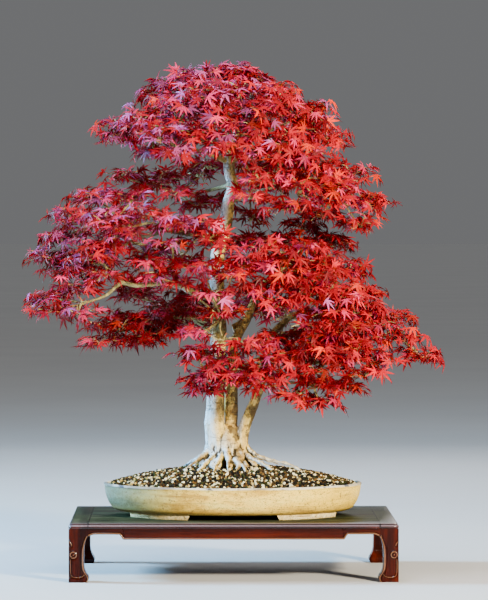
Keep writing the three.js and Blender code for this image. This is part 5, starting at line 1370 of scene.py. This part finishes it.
def random_turns(count, draw):
    """Random rotation matrices."""
    w, x, y, z = unit(draw.normal(size=(count, 4))).T
    return np.stack([
        np.stack([1 - 2 * (y * y + z * z), 2 * (x * y - z * w), 2 * (x * z + y * w)], 1),
        np.stack([2 * (x * y + z * w), 1 - 2 * (x * x + z * z), 2 * (y * z - x * w)], 1),
        np.stack([2 * (x * z - y * w), 2 * (y * z + x * w), 1 - 2 * (x * x + y * y)], 1),
    ], 1)


def soil_bed(soil):
    """The dark body of the mound, just under its grains and down to the tray's floor."""
    half = SOIL_HALF - 0.8
    shares = np.array([1.0, 0.985, 0.93, 0.85, 0.75, 0.62, 0.48, 0.34, 0.2, 0.08])
    wall = [(SOIL_HALF - 24.5, FLOOR_Z + 0.4), (SOIL_HALF - 11, 132.5), (SOIL_HALF - 3, 146), (half, 160)]
    top = [(share * half, mound_height(share) - BED_SINK) for share in shares]
    loft(soil, [oval_ring(radius, z, 96) for radius, z in wall + top], tint=BED_TINT)


def grain_places(draw):
    """Where grains lie: a loose layer of staggered rows over the mound, open under the tree."""
    columns = np.arange(-SOIL_HALF, SOIL_HALF, GRAIN_PITCH)
    rows = np.arange(-SOIL_HALF * SQUEEZE, SOIL_HALF * SQUEEZE, GRAIN_PITCH * 0.87)
    x, y = np.meshgrid(columns, rows)
    x = x + (np.arange(len(rows)) % 2)[:, None] * GRAIN_PITCH / 2
    x, y = (x + draw.normal(0, 0.8, x.shape)).ravel(), (y + draw.normal(0, 0.8, y.shape)).ravel()
    share = np.hypot(x, y / SQUEEZE) / SOIL_HALF
    middle, half_long, half_wide = UNDER_TREE
    kept = (share < 0.982) & (np.hypot((x - middle) / half_long, y / half_wide) >= 1)
    return x[kept], y[kept], share[kept]


def soil_piece(finish):
    draw = np.random.default_rng(31)
    soil = Shape()
    soil_bed(soil)
    x, y, share = grain_places(draw)
    count = len(x)
    sizes = draw.uniform(*GRAIN_SIZES, count) / 2
    heights = mound_height(share) + draw.uniform(-2.8, 0.8, count)
    corners, faces = icosahedron()
    corner_count = len(corners)
    shapes = corners * draw.uniform(0.72, 1.22, (count, corner_count, 1))
    shapes *= draw.uniform(0.7, 1.15, (count, 1, 3))
    grains = np.einsum("nab,nvb->nva", random_turns(count, draw), shapes) * sizes[:, None, None]
    grains += np.stack([x, y, heights], 1)[:, None]
    kinds, colours = zip(*GRAIN_KINDS)
    pick = draw.choice(len(kinds), count, p=kinds)
    tints = np.array(colours)[pick] * draw.uniform(0.65, 1.25, (count, 1))
    first = np.arange(count)[:, None, None] * corner_count
    soil.add(grains, (first + faces).reshape(-1, 3), tint=np.repeat(tints, corner_count, axis=0))
    settle(soil.build("soil_grit", finish, 25), "soil", "soil")


# The tray
# Its section as [inset from the rim's outer edge, distance]: up from the body's bottom for the outside, and
# down from the rim for the lip and the inside.
TRAY_OUTSIDE = [
    [28.6, 0], [22, 2.1], [17.6, 4.6], [16.2, 5.6], [15.2, 6.6], [9.8, 14.5], [4.4, 27], [2.0, 38],
]
TRAY_LIP = [[0.3, 4.4], [0, 3.2], [0, 1.9], [0.6, 0.7], [1.9, 0], [5.6, 0], [7.2, 0.7], [8.2, 2.4]]
TRAY_INSIDE = [[9, 6], [11.5, 22], [19.5, 36]]
TRAY_SIDES = 160
BODY_WOBBLE, RIM_WOBBLE = 0.5, 0.2
# Where a foot ends along the tray, at the stand.
FOOT_FROM_X, FOOT_TO_X = 84, 189
FOOT_STEPS = 22


def tray_profile():
    """The tray's section as [distance from the middle along its length, height], from below to its floor."""
    outside = [[RIM_HALF - inset, BODY_BOTTOM_Z + rise, 0] for inset, rise in TRAY_OUTSIDE]
    outside.append([RIM_HALF - 1.3, RIM_Z - 5.2, 0])
    lip = [[RIM_HALF - inset, RIM_Z - drop] for inset, drop in TRAY_LIP]
    inside = [[RIM_HALF - inset, RIM_Z - drop, 0] for inset, drop in TRAY_INSIDE]
    inside.append([RIM_HALF - 33.5, FLOOR_Z, 0])
    return np.concatenate([curve_through(outside, 3)[:, :2], lip, curve_through(inside, 3)[:, :2]])


def tray_foot(shape, mirror_x, mirror_y):
    """One foot, following the tray's oval, its ends sloping in towards the stand."""
    outer, joint_z = RIM_HALF - 28.5, BODY_BOTTOM_Z + 1.6
    section = [
        (outer - 1.5, joint_z), (outer - 0.4, BODY_BOTTOM_Z - 0.6), (outer - 2.6, FOOT_Z + 1.2),
        (outer - 3.8, FOOT_Z), (outer - 16, FOOT_Z), (outer - 17, FOOT_Z + 1), (outer - 18.4, joint_z),
    ]
    sections = []
    for step in range(FOOT_STEPS):
        ring = []
        for radius, z in section:
            slope = (z - FOOT_Z) / (BODY_BOTTOM_Z - FOOT_Z)
            near, far = FOOT_FROM_X - 4 * slope, FOOT_TO_X + 2 * slope
            a, b = math.acos(min(0.999, near / radius)), math.acos(min(0.999, far / radius))
            turn = a + (b - a) * step / (FOOT_STEPS - 1)
            x, y = radius * math.cos(turn) * mirror_x, radius * math.sin(turn) * SQUEEZE * mirror_y
            ring.append([x, y, z])
        sections.append(ring[::mirror_x * mirror_y])
    loft(shape, sections, turned=True)


def cut_or_joined(piece, tool, operation):
    """Joins or cuts one body with another, and clears the tool away."""
    step = piece.modifiers.new(operation.lower(), "BOOLEAN")
    step.operation, step.solver, step.object = operation, "EXACT", tool
    step.use_self = True
    applied(piece)
    bpy.data.objects.remove(tool)


def tray_piece(finish):
    body, feet, drains = Shape(), Shape(), Shape()
    rings = []
    for radius, z in tray_profile():
        wobble = BODY_WOBBLE if radius < RIM_HALF - 1 else RIM_WOBBLE
        rings.append(oval_ring(radius, z, TRAY_SIDES, wobble))
    loft(body, rings)
    tray = body.build("tray", finish, 50)
    for mirror_x in (-1, 1):
        for mirror_y in (-1, 1):
            tray_foot(feet, mirror_x, mirror_y)
    cut_or_joined(tray, feet.build("tray_feet", None, 50), "UNION")
    for x in (-DRAIN_X, DRAIN_X):
        tube(drains, [[x, 0, FOOT_Z - 5, DRAIN_RADIUS], [x, 0, FLOOR_Z + 8, DRAIN_RADIUS]], 32)
    cut_or_joined(tray, drains.build("drain_tool", None, 50), "DIFFERENCE")
    tray.data.shade_smooth()
    tray.data.set_sharp_from_angle(angle=math.radians(50))
    settle(tray, "pot_glaze", "pot")


# The stand
# Sizes taken from the solids, and what is drawn on them: the top's rounded corners and joints, the aprons'
# steps and thickness, how deep a carved face's field lies, and the half width of the bead along a leg.
STAND_LOW, STAND_HIGH = map(millimetres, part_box("stand_top_end_right"))
BOARD_Z = STAND_LOW[2]
LEG_TOP_Z = millimetres(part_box("stand_leg_front_left")[1])[2]
LEG_OUT_X, LEG_OUT_Y = STAND_HIGH[0] - 1, STAND_HIGH[1] - 1
LEG_ROOM = 37.5
JOINT_X = STAND_LOW[0]
JOINT_GAP = 0.2
BOARD_CORNER, CORNER_STEPS = 9.0, 7
APRON_LOW_Z = millimetres(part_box("stand_apron_front")[0])[2]
APRON_THIN_Z = APRON_LOW_Z + 9.2
APRON_THICK = 12
LONG_STEP_X, SHORT_STEP_X = 208, 118
FIELD_DEPTH = 1.3
BEAD = 1.8


def board_ring(inset, z):
    """A ring round the stand's top with rounded corners, set in from its outer edge."""
    ring = []
    for sx, sy, start in ((1, -1, -90), (1, 1, 0), (-1, 1, 90), (-1, -1, 180)):
        for k in range(CORNER_STEPS):
            a = math.radians(start + 90 * k / (CORNER_STEPS - 1))
            ring.append([
                sx * (STAND_HIGH[0] - BOARD_CORNER) + (BOARD_CORNER - inset) * math.cos(a),
                sy * (STAND_HIGH[1] - BOARD_CORNER) + (BOARD_CORNER - inset) * math.sin(a),
                z,
            ])
    return ring


def top_moulding():
    """The section of the top's edge as [inset, height]: a fat round below, a fillet and a raised rim."""
    top = STAND_HIGH[2]
    moulding = []
    for a in np.linspace(-math.pi / 2, math.pi / 2, 8):
        upper = a > 0
        inset = 0.4 + 3.4 * (1 - math.cos(a)) * (1 if upper else 0.3)
        moulding.append((inset, BOARD_Z + 2.2 + (4.2 if upper else 2.2) * math.sin(a)))
    return moulding + [(4.1, top - 2.6), (3.2, top - 2.3), (2.5, top - 1.3), (2.8, top - 0.4), (3.6, top)]


def cut_across(board, x, clear_beyond):
    """Cuts a board off square at x, clears one side away and closes the cut."""
    sculpt = bmesh.new()
    sculpt.from_mesh(board.data)
    everything = sculpt.verts[:] + sculpt.edges[:] + sculpt.faces[:]
    cut = bmesh.ops.bisect_plane(
        sculpt, geom=everything, plane_co=metres([x, 0, 0]), plane_no=(1, 0, 0),
        clear_outer=clear_beyond, clear_inner=not clear_beyond,
    )
    rim = [item for item in cut["geom_cut"] if isinstance(item, bmesh.types.BMEdge)]
    bmesh.ops.edgeloop_fill(sculpt, edges=rim)
    bmesh.ops.recalc_face_normals(sculpt, faces=sculpt.faces)
    sculpt.to_mesh(board.data)
    sculpt.free()


def stand_boards(finish, end_finish):
    """The clamped top: one slab with a rounded edge, cut along its two joints."""
    rings = [board_ring(inset, z) for inset, z in top_moulding()]
    boards = (
        ("stand_top_panel", finish, ((JOINT_GAP - JOINT_X, False), (JOINT_X - JOINT_GAP, True))),
        ("stand_top_end_left", end_finish, ((-JOINT_X - JOINT_GAP, True),)),
        ("stand_top_end_right", end_finish, ((JOINT_X, False),)),
    )
    for node, wood, cuts in boards:
        slab = Shape()
        loft(slab, rings)
        board = slab.build(node + "_board", wood, 40)
        for x, clear_beyond in cuts:
            cut_across(board, x, clear_beyond)
        settle(board, "stand_top", node)


def apron_edge(half, step):
    """The apron's lower edge as [x, z]: thin by the legs, deeper past a small ogee towards its middle."""
    rise = APRON_THIN_Z - APRON_LOW_Z
    turns = np.linspace(0, math.pi, 11)
    ogee = np.stack([-9 * (1 - turns / math.pi), (1 - np.cos(turns)) / 2], 1)
    to_leg = [[half - 14, 0.4], [half - 9, 0.1], [half - 5, -0.8], [half - 2, -2.2], [half, -3.4]]
    right = [[step + x, APRON_LOW_Z + rise * z] for x, z in ogee]
    right += [[x, APRON_THIN_Z + z] for x, z in to_leg]
    left = [[-x, z] for x, z in right[::-1]]
    return np.array(left + right)


# The apron's section by the lower edge: [distance up from the edge, depth behind the face].
APRON_SECTION = (
    (0, APRON_THICK), (0, 2.4), (0.25, 0.9), (0.9, 0.2), (1.8, 0), (2.7, 0.25), (3.4, 1.0), (3.8, 1.7),
    (4.3, 1.7), (4.8, FIELD_DEPTH),
)


def apron_piece(node, half, step, face, turn, finish):
    """One apron: a recessed field above a raised bead that follows its lower edge."""
    edge = apron_edge(half, step)
    along = unit(np.gradient(edge, axis=0))
    sections = []
    for (x, z), (along_x, along_z) in zip(edge, along):
        ring = [[x - along_z * up, depth - face, z + along_x * up] for up, depth in APRON_SECTION]
        ring += [[x, FIELD_DEPTH - face, LEG_TOP_Z], [x, APRON_THICK - face, LEG_TOP_Z]]
        sections.append(ring)
    cos, sin = math.cos(turn), math.sin(turn)
    rings = np.array(sections) @ np.array([[cos, sin, 0], [-sin, cos, 0], [0, 0, 1]])
    bead = [1 - depth / 1.2 if up < 3 else (FIELD_DEPTH - depth) * 2 for up, depth in APRON_SECTION]
    shape = Shape()
    loft(shape, rings, turned=True, carving=np.tile(np.clip(bead + [0, 0], -1, 1), len(rings)))
    settle(shape.build(node + "_board", finish, 35), "stand_frame", node)


# A leg square on, as [height, width in from its outer face]: hoof foot, shaft and shoulder.
LEG_WIDTHS = (
    (0, 32.4), (2, 34.6), (5, 36.2), (8, 36.5), (11, 35.6), (16, 32.0), (23, 28.8), (32, 27.7), (50, 27.5),
    (62, 28.0), (69, 29.2), (75, 30.9), (80, 33.0), (84, 35.0), (87, 36.2), (98, 36.2),
)
# Points across each carved face, and between its inner edge and the corner inside.
FACE_POINTS, INNER_POINTS = 33, 2
# Carved lines of a leg's face as [distance in from the outer edge, height].
SCROLL_EYE, SCROLL_RADIUS, EYE_RADIUS = (8.4, 50), 5.6, 2.2
LEG_SCROLL = [
    [SCROLL_EYE[0] + SCROLL_RADIUS * math.cos(a), SCROLL_EYE[1] + SCROLL_RADIUS * math.sin(a)]
    for a in np.radians(np.arange(-120, 215, 22))
]
LEG_FRAME = [
    [3.4, 42], [3.2, 30], [3.4, 20], [4.4, 13.5], [7.5, 10.2], [13, 9.0], [20, 9.2], [25.5, 11], [28, 14.5],
    [26.6, 19], [24.6, 26], [23.6, 36], [23.4, 52], [23.8, 64],
]
LEG_CURL = [[0.6, 75.5], [2.0, 73.5], [3.8, 71], [5.2, 68.6], [5.4, 66.6]]
EDGE_ROUND = 1.6
SOLE_ROUND = 1.2


def distance_to_line(points, line):
    """How far each [u, z] point lies from a carved line."""
    line = np.asarray(line, float)
    starts, spans = line[:-1], line[1:] - line[:-1]
    offset = points[:, None] - starts
    share = np.clip((offset * spans).sum(2) / (spans ** 2).sum(1), 0, 1)
    return np.linalg.norm(offset - share[..., None] * spans, axis=2).min(1)


def domed(share):
    """A round dome's height by the distance from its middle, from 1 down to 0 at its edge."""
    return np.sqrt(np.clip(1 - share ** 2, 0, 1))


def carved(u, z, width):
    """How deep a leg's face lies behind its outer plane at each u: a recessed field with raised beads and
    grooves. Also how raised or sunk it counts for its finish."""
    points = np.stack([u, np.full(len(u), z)], 1)
    beads = [
        (distance_to_line(points, LEG_FRAME), 1.1),
        (distance_to_line(points, LEG_SCROLL), 1.6),
        (distance_to_line(points, LEG_CURL), 1.3),
        (np.abs(width - u - BEAD) + 9 * steps_between(84, 88, z), BEAD),
    ]
    depth = FIELD_DEPTH + 0.125 * np.cos(np.clip(u / width, 0, 1) * 2 * math.pi)
    for away, half in beads:
        groove = 0.8 * np.exp(-((away - half - 0.7) / 0.6) ** 2)
        raised = FIELD_DEPTH * 1.05 * domed(away / half)
        depth = np.where(away < half, np.minimum(depth, FIELD_DEPTH - raised), depth + groove)
    eye = np.hypot(u - SCROLL_EYE[0], z - SCROLL_EYE[1])
    depth = np.where(eye < EYE_RADIUS, FIELD_DEPTH * (1 - domed(eye / EYE_RADIUS)), depth)
    edge = EDGE_ROUND * (1 - domed((EDGE_ROUND - np.clip(u, 0, EDGE_ROUND)) / EDGE_ROUND))
    mark = np.clip(1 - depth / (0.5 * FIELD_DEPTH), 0, 1) - np.clip((depth - FIELD_DEPTH - 0.2) * 2.5, 0, 1)
    return np.maximum(depth, 0) * steps_between(0.3, 2.0, u) + edge, mark * steps_between(0.8, 2.2, u)


def leg_piece(node, sign_x, sign_y, finish):
    """A leg that is square in plan: two carved outer faces, and two plain ones that meet inside."""
    heights = np.concatenate([np.linspace(0, 24, 26)[:-1], np.linspace(24, LEG_TOP_Z, 66)])
    widths = np.interp(heights, *np.array(LEG_WIDTHS).T)
    widths = np.convolve(np.pad(widths, 2, "edge"), np.ones(5) / 5, "valid")
    inner = np.linspace(0, 1, INNER_POINTS + 2)[1:-1, None]
    rings, marks = [], []
    for z, width in zip(heights, widths):
        u = np.linspace(0, 1, FACE_POINTS) * width
        depth, mark = carved(u, z, width)
        front = np.stack([u, depth + SOLE_ROUND * np.clip(1 - z / SOLE_ROUND, 0, 1)], 1)
        side = front[1:][::-1, ::-1]
        corner = np.array([[width, width]])
        to_corner = front[-1] + (corner - front[-1]) * inner
        from_corner = corner + (side[0] - corner) * inner
        x, y = np.concatenate([front, to_corner, corner, from_corner, side]).T
        rings.append(np.stack([sign_x * (LEG_OUT_X - x), sign_y * (LEG_OUT_Y - y), np.full(len(x), z)], 1))
        marks += [mark, np.zeros(2 * INNER_POINTS + 1), mark[1:][::-1]]
    shape = Shape()
    loft(shape, rings, turned=sign_x * sign_y < 0, carving=np.concatenate(marks))
    settle(shape.build(node + "_carved", finish, 55), "stand_frame", node)


def stand_pieces():
    reds = ((0.004, 0.0004, 0.0001), (0.021, 0.0018, 0.0002), (0.072, 0.0065, 0.0005))
    frame_long = wood_finish("stand_wood_long", reds, "X", 0.10, 0.10)
    frame_short = wood_finish("stand_wood_short", reds, "Y", 0.10, 0.10)
    frame_upright = wood_finish("stand_wood_upright", reds, "Z", 0.10, 0.10)
    worn = ((0.007, 0.008, 0.004), (0.020, 0.025, 0.011), (0.055, 0.062, 0.032))
    panel = wood_finish("stand_top_wood", reds, "X", 0.9, 0.2, worn)
    clamp = wood_finish("stand_end_wood", reds, "Y", 0.9, 0.2, worn)
    stand_boards(panel, clamp)
    quarter = math.pi / 2
    long_apron = (STAND_HIGH[0] - LEG_ROOM, LONG_STEP_X, LEG_OUT_Y)
    short_apron = (STAND_HIGH[1] - LEG_ROOM, SHORT_STEP_X, LEG_OUT_X)
    apron_piece("stand_apron_front", *long_apron, 0, frame_long)
    apron_piece("stand_apron_back", *long_apron, 2 * quarter, frame_long)
    apron_piece("stand_apron_right", *short_apron, quarter, frame_short)
    apron_piece("stand_apron_left", *short_apron, -quarter, frame_short)
    for side_name, sign_x in (("left", -1), ("right", 1)):
        for end_name, sign_y in (("front", -1), ("back", 1)):
            leg_piece(f"stand_leg_{end_name}_{side_name}", sign_x, sign_y, frame_upright)


# The scene round the object
def camera_like_the_photo():
    """A long lens a little above the middle of the tree, looking slightly down."""
    camera = bpy.data.objects.new("camera", bpy.data.cameras.new("camera"))
    bpy.context.scene.collection.objects.link(camera)
    camera.location = metres([-61, -6550, 654.6])
    focal_pixels, frame_height = 3515, 600
    camera.data.lens = camera.data.sensor_width * focal_pixels / frame_height
    camera.data.clip_end = 100
    toward = Vector((0.01252, 1, -0.02248))
    camera.rotation_mode = "QUATERNION"
    camera.rotation_quaternion = toward.to_track_quat("-Z", "Y")
    bpy.context.scene.camera = camera


def area_light(name, place, power, size, colour):
    lamp = bpy.data.lights.new(name, "AREA")
    lamp.energy, lamp.shape, lamp.size, lamp.color = power, "DISK", size, colour
    light = bpy.data.objects.new(name, lamp)
    light.location = place
    light.rotation_mode = "QUATERNION"
    light.rotation_quaternion = (Vector((0, 0, 0.5)) - Vector(place)).to_track_quat("-Z", "Y")
    bpy.context.scene.collection.objects.link(light)


def studio(floor_material):
    floor = Shape()
    reach = 150000
    corners = [[-reach, -reach, 0], [reach, -reach, 0], [reach, reach, 0], [-reach, reach, 0]]
    floor.add(corners, [[0, 1, 2, 3]])
    floor.build("floor", floor_material)
    area_light("key_right", (2.1, -3.1, 1.6), 455, 0.5, (1.0, 0.88, 0.67))
    area_light("cool_left", (-2.9, 0.35, 1.5), 480, 0.7, (0.30, 0.64, 1.0))
    area_light("overhead", (-0.6, -0.6, 3.0), 58, 1.2, (0.80, 0.82, 1.0))
    area_light("behind", (0.6, 3.0, 1.8), 30, 1.6, (1.0, 0.97, 0.95))
    sky = bpy.data.lights.new("even_top", "SUN")
    sky.energy, sky.angle = 0.336, 1.2
    bpy.context.scene.collection.objects.link(bpy.data.objects.new("even_top", sky))
    world = bpy.data.worlds.new("studio")
    bpy.context.scene.world = world
    world.use_nodes = True
    background = world.node_tree.nodes["Background"]
    background.inputs["Color"].default_value = (0.72, 0.73, 0.75, 1)
    background.inputs["Strength"].default_value = 0.22


def tree_pieces():
    tree_piece(limb_lines(), bark_finish())
    finishes = {kind: leaf_finish("leaf_" + kind, glow) for kind, glow in LEAF_GLOWS.items()}
    twigs = Shape()
    for seed, (name, (_, hub, tufts)) in enumerate(SPRAYS.items(), 100):
        spray_piece(name, hub, tufts, twigs, finishes[leaf_kind(name)], seed)
    settle(twigs.build("twigs", twig_finish(), 60), "bark")


tree_pieces()
soil_piece(grit_finish())
tray_piece(glaze_finish())
stand_pieces()
plastic = screen_finish()
for screen in ("drain_screen_left", "drain_screen_right"):
    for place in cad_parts[screen].material_slots:
        place.material = plastic
studio(floor_finish())
camera_like_the_photo()
